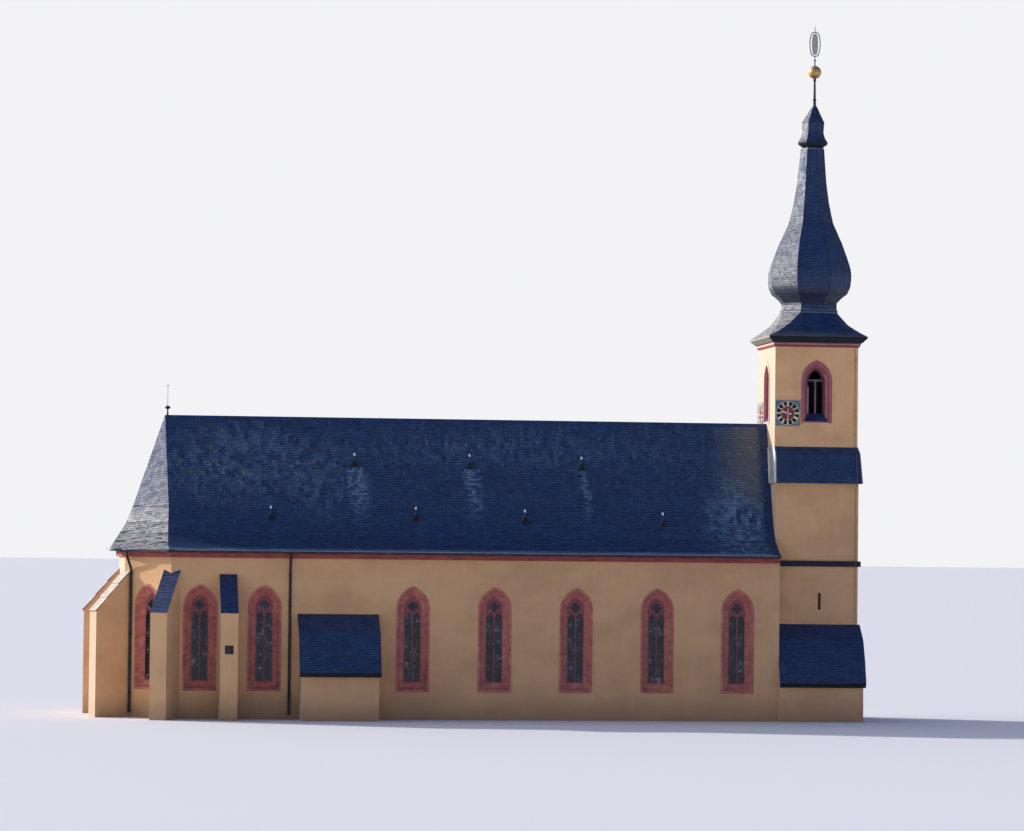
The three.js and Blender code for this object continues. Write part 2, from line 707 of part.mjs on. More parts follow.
function leaningX(z) {
  const lean = spireLean * Math.max(0, z - spireLeanFrom) + tipLean * Math.max(0, z - tipLeanFrom);
  return towerCentre + lean;
}

// The spire's axis: its place at a height, and how far it is turned there.
function spireAxis(z) {
  const share = THREE.MathUtils.clamp((z - twistFrom) / (twistTo - twistFrom), 0, 1);
  const twist = THREE.MathUtils.degToRad(twistLow + (twistHigh - twistLow) * share);
  return [leaningX(z), 0, Math.PI / 8 + twist];
}

function chamferedRing({ z, half, chamfer, twist = 0 }) {
  const near = half - chamfer;
  const corners = [
    [half, -near], [half, near], [near, half], [-near, half],
    [-half, near], [-half, -near], [-near, -half], [near, -half],
  ];
  const angle = THREE.MathUtils.degToRad(twist);
  const [cos, sin] = [Math.cos(angle), Math.sin(angle)];
  return corners.map(([x, y]) => [towerCentre + x * cos - y * sin, x * sin + y * cos, z]);
}

function makeSpire() {
  const space = turned(spireVoid, 8, spireAxis);
  addPiece('spire_foot', 'slate', stack(spireFoot.map(chamferedRing)).subtract(space));
  addPiece('spire', 'slate', turned(spireProfile, 8, spireAxis).subtract(space));
  const cap = capProfile.map(([z, radius], i) => [i === 0 ? z + GAP : z, radius]);
  addPiece('spire_cap', 'slate', turned(cap, 8, spireAxis));
}

function ellipsePlate(halfWidth, halfHeight, thickness) {
  const shape = new THREE.Shape();
  shape.absellipse(0, 0, halfWidth, halfHeight, 0, 2 * Math.PI);
  const options = { depth: thickness, bevelEnabled: false, curveSegments: roundSides };
  const geometry = new THREE.ExtrudeGeometry(shape, options);
  geometry.translate(0, 0, -thickness / 2);
  geometry.rotateX(Math.PI / 2);
  return solid(geometry);
}

function makeSpireFinial() {
  const sides = 12;
  const base = rodSections[0][0] + GAP;
  const place = [leaningX(base), 0];
  const rod = turned([[base, rodSections[0][1]], rodSections[1]], sides, () => place);
  const ball = solid(new THREE.SphereGeometry(ballRadius, roundSides, 12));
  const knob = solid(new THREE.SphereGeometry(knobRadius, sides, 8));
  const evenRod = (radius, z0, z1) => turned([[z0, radius], [z1, radius]], sides, () => place);
  const upperRod = evenRod(upperRodRadius, ballHeight, upperRodTop);
  const topRod = evenRod(topRodRadius, knobHeight, topRodTop);
  const ring = ellipsePlate(ringHalfWidth, ringHalfHeight, 2 * ringTube)
    .subtract(ellipsePlate(ringHalfWidth - 2 * ringTube, ringHalfHeight - 2 * ringTube, 4 * ringTube));
  const plate = ellipsePlate(ringPlateHalfWidth, ringPlateHalfHeight, ringPlateThickness);
  const at = (body, z) => body.translate([...place, z]);
  addPiece('spire_finial', 'gilding', joined([
    rod, at(ball, ballHeight), upperRod, at(knob, knobHeight),
    topRod, at(ring, ringHeight), at(plate, ringHeight),
  ]));
}

function cylinderAlongY(radius, y0, y1) {
  const geometry = new THREE.CylinderGeometry(radius, radius, Math.abs(y1 - y0), roundSides);
  geometry.translate(0, (y0 + y1) / 2, 0);
  return solid(geometry);
}

function clockPlateBody() {
  const half = clockPanel / 2;
  const plate = box(-half, half, -clockPlate, -GAP, -half, half);
  const arbor = cylinderAlongY(arborRadius, -clockPlate / 2, -arborEnd);
  const cap = cylinderAlongY(arborCapRadius, -arborEnd + GAP, -arborCapEnd);
  return joined([plate, arbor, cap]);
}

// One clock hand, turned clockwise by an angle from twelve.
function clockHand({ front, length, tail, root, blade, blunt }, angle) {
  const faceY = [-front, -front - handThickness];
  const slab = (outline) => hull(faceY.flatMap((y) => outline.map(([x, z]) => [x, y, z])));
  const mirrored = (half) => [...half, ...half.map(([x, z]) => [-x, z])];
  const pointer = slab(mirrored([[root, 0], [blade, handWidest * length], [blunt, length]]));
  const counter = slab(mirrored([[root, 0], [blade, -tailWidest * tail], [tailTip * blade, -tail]]));
  const hub = cylinderAlongY(handHub, faceY[0], faceY[1]);
  const bore = cylinderAlongY(handBore, faceY[0] + OVERSHOOT, faceY[1] - OVERSHOOT);
  const hand = joined([pointer, counter, hub]).subtract(bore);
  return hand.transform(new THREE.Matrix4().makeRotationY(angle).toArray());
}

function makeClocks() {
  const places = [
    { word: 'north', x: towerEast + clockOffset, y: -upperHalfDepth, turn: 0 },
    { word: 'east', x: towerEast, y: upperHalfDepth - clockOffset, turn: -Math.PI / 2 },
  ];
  for (const { word, x, y, turn } of places) {
    const group = placedGroup(x, y, clockHeight, turn);
    addPiece(`clock_${word}_dial`, 'dialPaint', clockPlateBody(), group);
    const hourAngle = (2 * Math.PI * hourShown) / 12;
    const minuteAngle = (2 * Math.PI * minuteShown) / 60;
    addPiece(`clock_${word}_hour_hand`, 'gilding', clockHand(hourHand, hourAngle), group);
    addPiece(`clock_${word}_minute_hand`, 'gilding', clockHand(minuteHand, minuteAngle), group);
  }
}

// Body with an upright outline of pairs of distance north and height, run from west to east.
function runAlongNave(outline, west, east) {
  const shape = new THREE.Shape(outline.map(([north, z]) => new THREE.Vector2(north, z)));
  const geometry = new THREE.ExtrudeGeometry(shape, { depth: west - east, bevelEnabled: false });
  geometry.applyMatrix4(new THREE.Matrix4().makeBasis(
    new THREE.Vector3(0, -1, 0), new THREE.Vector3(0, 0, 1), new THREE.Vector3(-1, 0, 0)));
  geometry.translate(west, 0, 0);
  return solid(geometry);
}

function makeLeanTo(name, { east, west, back, verge, slope, front }, eastVerge) {
  const [ridge, ...lower] = slope;
  const pitch = (ridge[1] - lower[0][1]) / (lower[0][0] - ridge[0]);
  const wallFace = back + GAP;
  const backUnder = ridge[1] - leanToRoofDepth - pitch * leanToRoofSetBack;
  const under = lower.map(([north, z]) => [north - leanToRoofSetBack, z - leanToRoofDepth]);
  const roofOutline = [[wallFace, ridge[1]], ...lower, ...under.slice().reverse(), [wallFace, backUnder]];
  addPiece(`${name}_roof`, 'slate', runAlongNave(roofOutline, west + verge, east - eastVerge));
  const [before, last] = under.slice(-2);
  const steepness = (before[1] - last[1]) / (last[0] - before[0]);
  const frontTop = last[1] + steepness * (last[0] - front);
  const wallOutline = [
    [wallFace, 0], [front, 0], [front, frontTop - GAP],
    ...under.slice(0, -1).reverse().map(([north, z]) => [north, z - GAP]), [wallFace, backUnder - GAP],
  ];
  const inside = box(east + leanToWall, west - leanToWall, -front + leanToWall, -back + OVERSHOOT,
    -OVERSHOOT, ridge[1]);
  addPiece(`${name}_walls`, 'plaster', runAlongNave(wallOutline, west, east).subtract(inside));
}

function makeRidgeFinial() {
  const finial = turned(finialSections, 12, () => [ridgeEast + finialInset, 0]);
  addPiece('ridge_finial', 'iron', finial.subtract(roofBody(roofLevels, ridgeHeight, ridgeEast, GAP)));
}

makeNaveAndChoirWalls();
makeApseWall('apse_north_east', 1);
makeApseWall('apse_east', 2);
makeApseWall('apse_south_east', 3);
makeGlassSheets();
makeFloors();
makeMainRoof();
makeGableWall();
makeEaves();
makeGutter();
makeRidgeFinial();
makeButtresses();
makeDownpipes();
makeLowerStage();
makeTowerBands();
makeUpperStage();
makeBellWindows();
makeSpire();
makeSpireFinial();
makeClocks();
makeLeanTo('vestry', vestry, vestry.verge);
makeLeanTo('annex', annex, -GAP);

export default church;
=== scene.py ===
# %% [markdown]
# # An old village church at half its real size
#
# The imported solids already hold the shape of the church: a square west tower with an onion spire, a long
# nave, and a choir with buttresses. This lesson dresses them: slates are laid on every roof, the windows
# get their sandstone, tracery and leaded glass, and each surface gets a finish made of nodes.
# Every length is the model's, in metres, so it is half of the real one.

# %% Load the frame
import json
import math

import bmesh
import bpy
import numpy as np
from mathutils import Matrix, Vector, noise


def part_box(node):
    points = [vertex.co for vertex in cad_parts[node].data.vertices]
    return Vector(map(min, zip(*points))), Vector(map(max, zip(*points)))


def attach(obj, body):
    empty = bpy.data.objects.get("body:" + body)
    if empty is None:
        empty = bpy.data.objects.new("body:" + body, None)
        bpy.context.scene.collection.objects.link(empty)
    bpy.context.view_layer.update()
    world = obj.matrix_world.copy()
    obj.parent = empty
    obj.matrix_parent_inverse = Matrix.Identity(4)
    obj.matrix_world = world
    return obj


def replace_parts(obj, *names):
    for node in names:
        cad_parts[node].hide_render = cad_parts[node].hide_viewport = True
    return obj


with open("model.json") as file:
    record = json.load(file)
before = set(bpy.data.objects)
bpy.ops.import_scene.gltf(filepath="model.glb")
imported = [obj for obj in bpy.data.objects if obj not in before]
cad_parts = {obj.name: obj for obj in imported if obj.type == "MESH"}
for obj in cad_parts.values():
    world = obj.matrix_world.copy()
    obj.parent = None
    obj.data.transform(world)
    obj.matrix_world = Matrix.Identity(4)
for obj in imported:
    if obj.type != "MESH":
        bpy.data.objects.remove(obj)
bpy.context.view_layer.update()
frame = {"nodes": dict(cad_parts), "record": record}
nodes = frame["nodes"]


def middle_of(node):
    """The middle of a solid's box."""
    low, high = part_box(node)
    return (low + high) / 2


tower_low, tower_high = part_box("tower_upper_stage")
tower_middle = middle_of("tower_upper_stage")
print("solids in the frame:", len(nodes))

# %% [markdown]
# ## Camera
#
# The church was seen from far away with a long lens, which keeps upright lines almost parallel. The
# camera stands far off to the north, about as high as the eaves, looks a little up and leans a little.
# Its matrix is built from three angles, because a long lens shows an error of a tenth of a degree.

# %% Camera
focal_pixels = 3800.0
frame_pixels = 1024
sensor_width = 36.0
camera_place = Vector((-14.990, -122.796, 5.698))
camera_yaw = math.radians(7.466)
camera_pitch = math.radians(1.902)
camera_roll = 0.011
farthest_seen = 2000

forward = Vector((
    math.sin(camera_yaw) * math.cos(camera_pitch),
    math.cos(camera_yaw) * math.cos(camera_pitch),
    math.sin(camera_pitch),
))
level_right = Vector((math.cos(camera_yaw), -math.sin(camera_yaw), 0))
level_up = level_right.cross(forward)
right = level_right * math.cos(camera_roll) + level_up * math.sin(camera_roll)
upward = right.cross(forward)

camera_data = bpy.data.cameras.new("camera")
camera_data.sensor_width = sensor_width
camera_data.lens = focal_pixels * sensor_width / frame_pixels
camera_data.clip_end = farthest_seen
camera = bpy.data.objects.new("camera", camera_data)
camera_axes = Matrix((right, upward, -forward)).transposed()
camera.matrix_world = Matrix.Translation(camera_place) @ camera_axes.to_4x4()
bpy.context.scene.collection.objects.link(camera)
bpy.context.scene.camera = camera
print("lens in mm:", round(camera_data.lens, 1))

# %% [markdown]
# ## Light and ground
#
# A low, slightly warm sun stands in the east, a little to the south. It fills the east faces, grazes the
# north-east ones and leaves the north to the light of the sky, which shows up the tower's edges. The sky
# is brightest around the sun and blue on the other side, so a slate shines or stays dark by the way it
# faces. What the camera sees of the sky is a plain pale backdrop.

# %% Sun
sun_azimuth = math.radians(28)
sun_height = math.radians(20)
sun_strength = 4.3
sun_width = math.radians(1.5)
sun_colour = (1.0, 0.95, 0.92)
towards_sun = Vector((
    -math.cos(sun_azimuth) * math.cos(sun_height),
    math.sin(sun_azimuth) * math.cos(sun_height),
    math.sin(sun_height),
))
sun_data = bpy.data.lights.new("sun", "SUN")
sun_data.energy = sun_strength
sun_data.angle = sun_width
sun_data.color = sun_colour
sun = bpy.data.objects.new("sun", sun_data)
sun.rotation_euler = towards_sun.to_track_quat("Z", "Y").to_euler()
bpy.context.scene.collection.objects.link(sun)


# %% Node helpers
def srgb(code):
    """Linear colour of a six-digit web colour."""
    values = [int(code[i:i + 2], 16) / 255 for i in (0, 2, 4)]
    return tuple(v / 12.92 if v <= 0.04045 else ((v + 0.055) / 1.055) ** 2.4 for v in values) + (1.0,)


def add_node(tree, kind, inputs=None, **settings):
    """A node with its settings and inputs. An input is a value or another node's output."""
    made = tree.nodes.new(kind)
    for key, value in settings.items():
        setattr(made, key, value)
    for key, value in (inputs or {}).items():
        if isinstance(value, bpy.types.NodeSocket):
            tree.links.new(value, made.inputs[key])
        else:
            made.inputs[key].default_value = value
    return made


def add_mix(tree, mask, below, above):
    """Blends two colours by a mask. A colour is a value or another node's output."""
    return add_node(tree, "ShaderNodeMix", {"Factor": mask, 6: below, 7: above}, data_type="RGBA").outputs[2]


def add_math(tree, operation, first, second):
    return add_node(tree, "ShaderNodeMath", {0: first, 1: second}, operation=operation).outputs[0]


# %% Sky
horizon_sky = (0.42, 0.44, 0.47, 1.0)
zenith_sky = (0.05, 0.10, 0.27, 1.0)
sun_side_sky = (1.35, 1.32, 1.28, 1.0)
zenith_reached = 0.75
glow_begins = 0.45
sky_strength = 1.18
world = bpy.data.worlds.new("sky")
world.use_nodes = True
bpy.context.scene.world = world
sky = world.node_tree
sky_light = sky.nodes["Background"]
sky_light.inputs["Strength"].default_value = sky_strength
look = add_node(sky, "ShaderNodeTexCoord").outputs["Generated"]
climb = add_node(sky, "ShaderNodeSeparateXYZ", {"Vector": look}).outputs["Z"]
beside_sun = add_node(sky, "ShaderNodeVectorMath", {0: look, 1: towards_sun}, operation="DOT_PRODUCT")


def sky_range(value, low, high):
    inputs = {"Value": value, "From Min": low, "From Max": high}
    return add_node(sky, "ShaderNodeMapRange", inputs, interpolation_type="SMOOTHSTEP").outputs["Result"]


open_sky = add_mix(sky, sky_range(climb, 0.0, zenith_reached), horizon_sky, zenith_sky)
glow = sky_range(beside_sun.outputs["Value"], glow_begins, 1.0)
sky.links.new(add_mix(sky, glow, open_sky, sun_side_sky), sky_light.inputs["Color"])
backdrop = add_node(sky, "ShaderNodeBackground", {"Color": srgb("f3f3f6")})
is_seen = add_node(sky, "ShaderNodeLightPath").outputs["Is Camera Ray"]
sky_mix = add_node(sky, "ShaderNodeMixShader", {
    "Fac": is_seen, 1: sky_light.outputs["Background"], 2: backdrop.outputs["Background"],
})
sky.links.new(sky_mix.outputs["Shader"], sky.nodes["World Output"].inputs["Surface"])
bpy.context.scene.view_settings.view_transform = "Standard"
print("strength of sun and sky:", sun_strength, sky_strength)

# %% [markdown]
# ## Shared effects
#
# Weather does the same things to every finish, only at other sizes: it stains in soft blotches, changes
# with height and roughens the skin, and the sides that look one way are mixed paler as painted sunlight.
# Each effect is one node group with named sockets, so the plaster, the stone and the metals all take it with
# their own values.


# %% Node groups
def new_group(name, sockets, output):
    group = bpy.data.node_groups.new(name, "ShaderNodeTree")
    for socket, default in sockets.items():
        made = group.interface.new_socket(socket, in_out="INPUT", socket_type="NodeSocketFloat")
        made.default_value = default
    group.interface.new_socket(output, in_out="OUTPUT", socket_type="NodeSocketFloat")
    return group, group.nodes.new("NodeGroupInput").outputs, group.nodes.new("NodeGroupOutput").inputs[output]


def object_place(tree):
    return add_node(tree, "ShaderNodeTexCoord").outputs["Object"]


def object_parts(tree):
    return add_node(tree, "ShaderNodeSeparateXYZ", {"Vector": object_place(tree)}).outputs


# %% Blotches
blotches, given, result = new_group(
    "blotches", {"Size": 1.0, "Height": 1.0, "Low": 0.4, "High": 0.65, "Detail": 5.0}, "Mask"
)
parts = object_parts(blotches)
scaled = add_node(blotches, "ShaderNodeCombineXYZ", {
    "X": add_math(blotches, "DIVIDE", parts["X"], given["Size"]),
    "Y": add_math(blotches, "DIVIDE", parts["Y"], given["Size"]),
    "Z": add_math(blotches, "DIVIDE", parts["Z"], given["Height"]),
}).outputs["Vector"]
cloud = add_node(blotches, "ShaderNodeTexNoise", {"Vector": scaled, "Scale": 1.0, "Detail": given["Detail"]})
edge = add_node(blotches, "ShaderNodeMapRange", {
    "Value": cloud.outputs["Fac"], "From Min": given["Low"], "From Max": given["High"],
}, interpolation_type="SMOOTHSTEP")
blotches.links.new(edge.outputs["Result"], result)

# %% Change with height
height_fade, given, result = new_group("height fade", {"From": 0.0, "To": 1.0}, "Mask")
fade = add_node(height_fade, "ShaderNodeMapRange", {
    "Value": object_parts(height_fade)["Z"], "From Min": given["From"], "From Max": given["To"],
}, interpolation_type="SMOOTHSTEP")
height_fade.links.new(fade.outputs["Result"], result)

# %% Sides that face one way
facing, given, result = new_group(
    "facing", {"X": 0.0, "Y": 0.0, "Z": 1.0, "Absent": 0.5, "Full": 0.9}, "Mask"
)
way = add_node(facing, "ShaderNodeCombineXYZ", {axis: given[axis] for axis in "XYZ"}).outputs["Vector"]
surface_normal = add_node(facing, "ShaderNodeNewGeometry").outputs["True Normal"]
turned = add_node(facing, "ShaderNodeVectorMath", {0: surface_normal, 1: way}, operation="DOT_PRODUCT")
share = add_node(facing, "ShaderNodeMapRange", {
    "Value": turned.outputs["Value"], "From Min": given["Absent"], "From Max": given["Full"],
})
facing.links.new(share.outputs["Result"], result)

# %% Grain of a rough surface
grain, given, result = new_group("grain", {"Size": 0.02}, "Height")
fine = add_node(grain, "ShaderNodeTexNoise", {
    "Vector": object_place(grain), "Scale": add_math(grain, "DIVIDE", 1.0, given["Size"]), "Detail": 4.0,
})
grain.links.new(fine.outputs["Fac"], result)
print("shared effects:", [group.name for group in bpy.data.node_groups])


# %% Finishes from layers
class Finish:
    """A material whose colour, roughness and bump are built up in layers."""

    def __init__(self, name, colour, roughness, **sockets):
        self.material = bpy.data.materials.new(name)
        self.material.use_nodes = True
        self.tree = self.material.node_tree
        self.shader = self.tree.nodes["Principled BSDF"]
        self.colour = srgb(colour)
        self.shader.inputs["Base Color"].default_value = self.colour
        self.shader.inputs["Roughness"].default_value = roughness
        for key, value in sockets.items():
            self.shader.inputs[key.replace("_", " ")].default_value = value

    def group_mask(self, group, values):
        made = add_node(self.tree, "ShaderNodeGroup", node_tree=group)
        for key, value in values.items():
            made.inputs[key].default_value = value
        return made.outputs[0]

    def blend(self, colour, mask, amount=1.0):
        """Mixes a colour in where the mask is bright."""
        if amount != 1.0:
            mask = add_math(self.tree, "MULTIPLY", mask, amount)
        self.colour = add_mix(self.tree, mask, self.colour, srgb(colour))
        self.tree.links.new(self.colour, self.shader.inputs["Base Color"])
        return self

    def patches(self, colour, amount=1.0, **values):
        return self.blend(colour, self.group_mask(blotches, values), amount)

    def by_height(self, colour, absent, full, amount=1.0):
        """Mixes a colour in between one height, where it is absent, and another, where it is full."""
        return self.blend(colour, self.group_mask(height_fade, {"From": absent, "To": full}), amount)

    def facing(self, colour, amount=1.0, **values):
        """Mixes a colour in on the sides that look one way."""
        return self.blend(colour, self.group_mask(facing, values), amount)

    def soot_and_shade(self, half, colour="3c3f48"):
        """Darkens what lies closer to the middle of the bell chamber than a half width: soot on the stone,
        and painted shade inside the tower.
        """
        parts = object_parts(self.tree)
        off_middle = add_math(self.tree, "SUBTRACT", parts["X"], tower_middle.x)
        reaches = [add_math(self.tree, "ABSOLUTE", value, 0.0) for value in (off_middle, parts["Y"])]
        farthest = add_math(self.tree, "MAXIMUM", *reaches)
        return self.blend(colour, add_math(self.tree, "LESS_THAN", farthest, half))

    def by_attribute(self, name, colour, absent=0.0, full=1.0, amount=1.0):
        """Mixes a colour in by a number that each small piece stores."""
        stored = add_node(self.tree, "ShaderNodeAttribute", attribute_name=name).outputs["Fac"]
        inputs = {"Value": stored, "From Min": absent, "From Max": full}
        spread = add_node(self.tree, "ShaderNodeMapRange", inputs)
        return self.blend(colour, spread.outputs["Result"], amount)

    def worn_roughness(self, low, high, **values):
        spread = add_node(self.tree, "ShaderNodeMapRange", {
            "Value": self.group_mask(blotches, values), "To Min": low, "To Max": high,
        })
        self.tree.links.new(spread.outputs["Result"], self.shader.inputs["Roughness"])
        return self

    def bump(self, size, distance, strength=1.0):
        height = self.group_mask(grain, {"Size": size})
        bump = add_node(self.tree, "ShaderNodeBump", {
            "Height": height, "Strength": strength, "Distance": distance,
        })
        self.tree.links.new(bump.outputs["Normal"], self.shader.inputs["Normal"])
        return self


# %% [markdown]
# ## Finishes of masonry
#
# Lime plaster is warm ochre and never even: rain washes it paler, and damp and dust darken it near the
# ground. The red sandstone runs from rose to mauve in beds, and each dressing has its own mix of them.
# The weathered roofs are a blue-grey slate that grows pale lichen, and what faces the low sun is painted
# paler as painted sunlight.

# %% Plaster and stone
lime_plaster = Finish("lime plaster", "f3c18b", 0.93)
lime_plaster.patches("dba97b", 0.8, Size=1.6, Height=0.9, Low=0.35, High=0.7)
lime_plaster.patches("efc594", 0.6, Size=0.5, Height=1.6, Low=0.5, High=0.8)
lime_plaster.patches("b09078", 0.15, Size=0.12, Height=2.4, Low=0.5, High=0.85)
lime_plaster.by_height("9c8068", 11.5, 4.5, 0.25)
lime_plaster.by_height("8e7763", 1.0, -0.2, 0.7)
# East faces are mixed paler: painted sunlight.
lime_plaster.facing("c9b69c", X=-1.0, Z=0.0, Absent=0.8, Full=0.95)
# Inside the bell chamber the plaster is darkened: painted shade.
lime_plaster.soot_and_shade(1.13)
lime_plaster.bump(0.012, 0.003)

red_sandstone = Finish("red sandstone", "b0606a", 0.85)
red_sandstone.patches("97566a", 0.6, Size=0.3, Height=0.16, Low=0.35, High=0.65, Detail=2.0)
red_sandstone.patches("c27a74", 0.6, Size=0.12, Height=0.2, Low=0.5, High=0.75)
# East faces are mixed paler: painted sunlight.
red_sandstone.facing("e6c3b0", X=-1.0, Z=0.0, Absent=0.9, Full=0.97)
# Inside the bell chamber the stone is darkened: soot on the plate between the lights, and painted shade.
red_sandstone.soot_and_shade(1.156, "2e2c34")
red_sandstone.soot_and_shade(1.06)
red_sandstone.bump(0.006, 0.002)

window_stone = Finish("window sandstone", "c4786a", 0.85)
window_stone.patches("a05a5e", 0.6, Size=0.25, Height=0.14, Low=0.4, High=0.6, Detail=2.0)
window_stone.patches("dc9c70", 0.5, Size=0.3, Height=0.3, Low=0.5, High=0.75)
window_stone.bump(0.006, 0.002)

tracery_stone = Finish("tracery sandstone", "94585c", 0.85)
tracery_stone.patches("7a4650", 0.7, Size=0.2, Height=0.14, Low=0.4, High=0.65)
tracery_stone.bump(0.006, 0.002)

rim_stone = Finish("rim sandstone", "b86c70", 0.85)
rim_stone.patches("97576a", 0.6, Size=0.25, Height=0.14, Low=0.4, High=0.6, Detail=2.0)
# East faces are mixed paler: painted sunlight.
rim_stone.facing("e6c3b0", X=-1.0, Z=0.0, Absent=0.88, Full=0.96)
rim_stone.bump(0.006, 0.002)

mauve_stone = Finish("mauve sandstone", "8d6377", 0.85)
mauve_stone.patches("7a5067", 0.9, Size=0.2, Height=0.2, Low=0.4, High=0.65)
mauve_stone.bump(0.006, 0.002)

# A darker copy of the sandstone for the inner rolls of the bell windows: painted shade of the deep reveal.
shaded_splay_stone = Finish("sandstone of the inner splay, painted shade", "5e3c50", 0.85)
shaded_splay_stone.patches("4a2f42", 0.9, Size=0.2, Height=0.2, Low=0.4, High=0.65)
shaded_splay_stone.bump(0.006, 0.002)

slab_stone = Finish("sandstone slab, top painted sunlit", "96484c", 0.85)
# The upward sides are mixed paler: painted sunlight on the tops.
slab_stone.facing("cdc2b4", Z=1.0, Absent=0.3, Full=0.4)
slab_stone.patches("a8968c", 0.5, Size=0.2, Height=0.2, Low=0.4, High=0.65)
slab_stone.bump(0.008, 0.002)

cornice_stone = Finish("cornice sandstone", "b07c84", 0.85)
cornice_stone.patches("9c6a74", 0.9, Size=0.5, Height=0.06, Low=0.4, High=0.65)
# East faces are mixed paler: painted sunlight.
cornice_stone.facing("d6b09c", X=-1.0, Z=0.0, Absent=0.4, Full=0.9)
cornice_stone.by_height("8a3f40", 12.225, 12.205)
# A dark band along the top, under the spire's foot: painted shadow.
cornice_stone.by_height("3c2a34", 12.265, 12.285)
cornice_stone.bump(0.008, 0.002)

eaves_stone = Finish("eaves sandstone", "a6544f", 0.85)
eaves_stone.patches("8a4448", 0.9, Size=0.4, Height=0.1, Low=0.4, High=0.65)
eaves_stone.bump(0.008, 0.002)

dark_sandstone = Finish("dark sandstone band", "30243a", 0.85)
dark_sandstone.patches("211d2c", 0.9, Size=0.6, Height=0.1, Low=0.35, High=0.65)
dark_sandstone.bump(0.008, 0.002)

floor_stone = Finish("worn flagstones", "9a9488", 0.85)
floor_stone.patches("7d776c", 0.9, Size=0.5, Height=0.5, Low=0.4, High=0.7)
floor_stone.bump(0.02, 0.001)

# %% Slate
roof_slate = Finish("roof slate", "173460", 0.55, IOR=1.5)
roof_slate.by_attribute("tone", "25457a", 0.6, 1.0, 0.6)
roof_slate.by_attribute("tone", "0d2148", 0.4, 0.0, 0.6)
roof_slate.by_attribute("lichen", "5f80a0")
roof_slate.by_attribute("moss", "77766d")
roof_slate.patches("3c4f6e", 0.3, Size=0.05, Height=0.05, Low=0.55, High=0.75)
# Slates that look east are mixed paler: painted sunlit sheen.
roof_slate.by_attribute("painted_sheen", "a8a7a3")
# A dark band round the spire's waist and the underside of its bulb: grime and painted shade.
roof_slate.by_attribute("bulb_grime_and_shade", "1b2226")
# The head of each slate, under the foot of the course above, is darkened: painted shadow.
roof_slate.by_attribute("fall", "0b1226", 0.45, 0.85, 0.75)
roof_slate.worn_roughness(0.45, 0.65, Size=0.2, Height=0.2, Low=0.35, High=0.65)
roof_slate.bump(0.01, 0.0015)

vent_slate = Finish("slate of the vents", "22365c", 0.55, IOR=1.6)
vent_slate.patches("40506c", 0.7, Size=0.05, Height=0.05, Low=0.5, High=0.7)

# Nearly black boarding: it shows in the joints, and where it is left bare it stands as painted shade.
dark_boarding_and_shade = Finish("dark boarding under the slates and painted shade", "171c29", 0.8)
dark_boarding_and_shade.patches("10131d", 1.0, Size=0.4, Height=0.2, Low=0.3, High=0.7)

eaves_boards = Finish("painted boards of the eaves", "171c29", 0.8)
eaves_boards.patches("10131d", 1.0, Size=0.4, Height=0.2, Low=0.3, High=0.7)
# East faces are mixed paler: painted sunlight.
eaves_boards.facing("a29c90", X=-1.0, Z=0.0, Absent=0.6, Full=0.8)

# %% [markdown]
# ## Finishes of metal, wood, paint and glass
#
# Gutters and pipes are dark sheet metal, flashings are pale lead, and the hardware on the spire is
# wrought iron with a gilded ball. The clock's panel is faded blue paint round a red disc. Metals are
# never one colour either: lead, zinc and iron dull in patches, and the gilding changes its gloss too.

# %% Metal
rain_metal = Finish("dark rain metal", "2a2b31", 0.45, Metallic=0.5)
rain_metal.patches("454348", 0.8, Size=0.2, Height=0.6, Low=0.45, High=0.7)
rain_metal.bump(0.02, 0.0006)

pale_lead = Finish("pale lead sheet", "8791a3", 0.45, Metallic=0.3)
pale_lead.patches("65718a", 0.9, Size=0.15, Height=0.3, Low=0.4, High=0.7)
pale_lead.bump(0.03, 0.001)

white_zinc = Finish("white zinc", "eef2fa", 0.4)
white_zinc.patches("b9c6d6", 0.7, Size=0.05, Height=0.05, Low=0.5, High=0.7)

# Near white, far paler than lead, so the aprons look lit in the shadow of the nave's ridge: painted light.
apron_lead = Finish("sheet lead aprons", "f2efe9", 0.5)
apron_lead.patches("d8d3ca", 0.8, Size=0.15, Height=0.4, Low=0.4, High=0.7)
apron_lead.bump(0.03, 0.001)

# A darker copy of the lead for the rolls round the spire: painted shade.
shaded_lead = Finish("lead rolls, darker as painted shade", "6b7789", 0.5, Metallic=0.3)
shaded_lead.patches("515e76", 0.9, Size=0.15, Height=0.1, Low=0.4, High=0.7)
shaded_lead.bump(0.03, 0.001)

wrought_iron = Finish("wrought iron", "33343c", 0.55, Metallic=0.5)
wrought_iron.patches("54423c", 0.6, Size=0.05, Height=0.08, Low=0.5, High=0.7)
wrought_iron.bump(0.008, 0.0008)

rod_copper = Finish("brown copper of the rod", "9a6650", 0.6, Metallic=0.2)
rod_copper.patches("6e5448", 0.7, Size=0.04, Height=0.3, Low=0.45, High=0.7)

gilding = Finish("gilding", "d2a964", 0.4, Metallic=0.6)
gilding.patches("8a7a4c", 0.7, Size=0.12, Height=0.05, Low=0.5, High=0.7)
# Greenish top: patina and painted reflection of the sky. Dark brown underside: painted shade.
gilding.by_height("8fa08c", 21.34, 21.48, 0.8)
gilding.by_height("6a4228", 21.24, 21.12, 0.8)
gilding.worn_roughness(0.35, 0.6, Size=0.08, Height=0.08, Low=0.4, High=0.7)

# Near white: the gilding's pale gold and a painted reflection of the sky.
hand_gilding = Finish("gilded clock hands", "ffdcc2", 0.45, Metallic=0.1)
hand_gilding.patches("e0b494", 0.6, Size=0.06, Height=0.06, Low=0.5, High=0.75)

silvering = Finish("silvered plate", "b4b4b6", 0.4, Metallic=0.2)
silvering.patches("9a958e", 0.8, Size=0.06, Height=0.1, Low=0.45, High=0.7)

# %% Paint, wood and glass
dial_blue = Finish("faded blue paint", "626f95", 0.6)
dial_blue.patches("7d8c86", 0.9, Size=0.35, Height=0.35, Low=0.42, High=0.6)
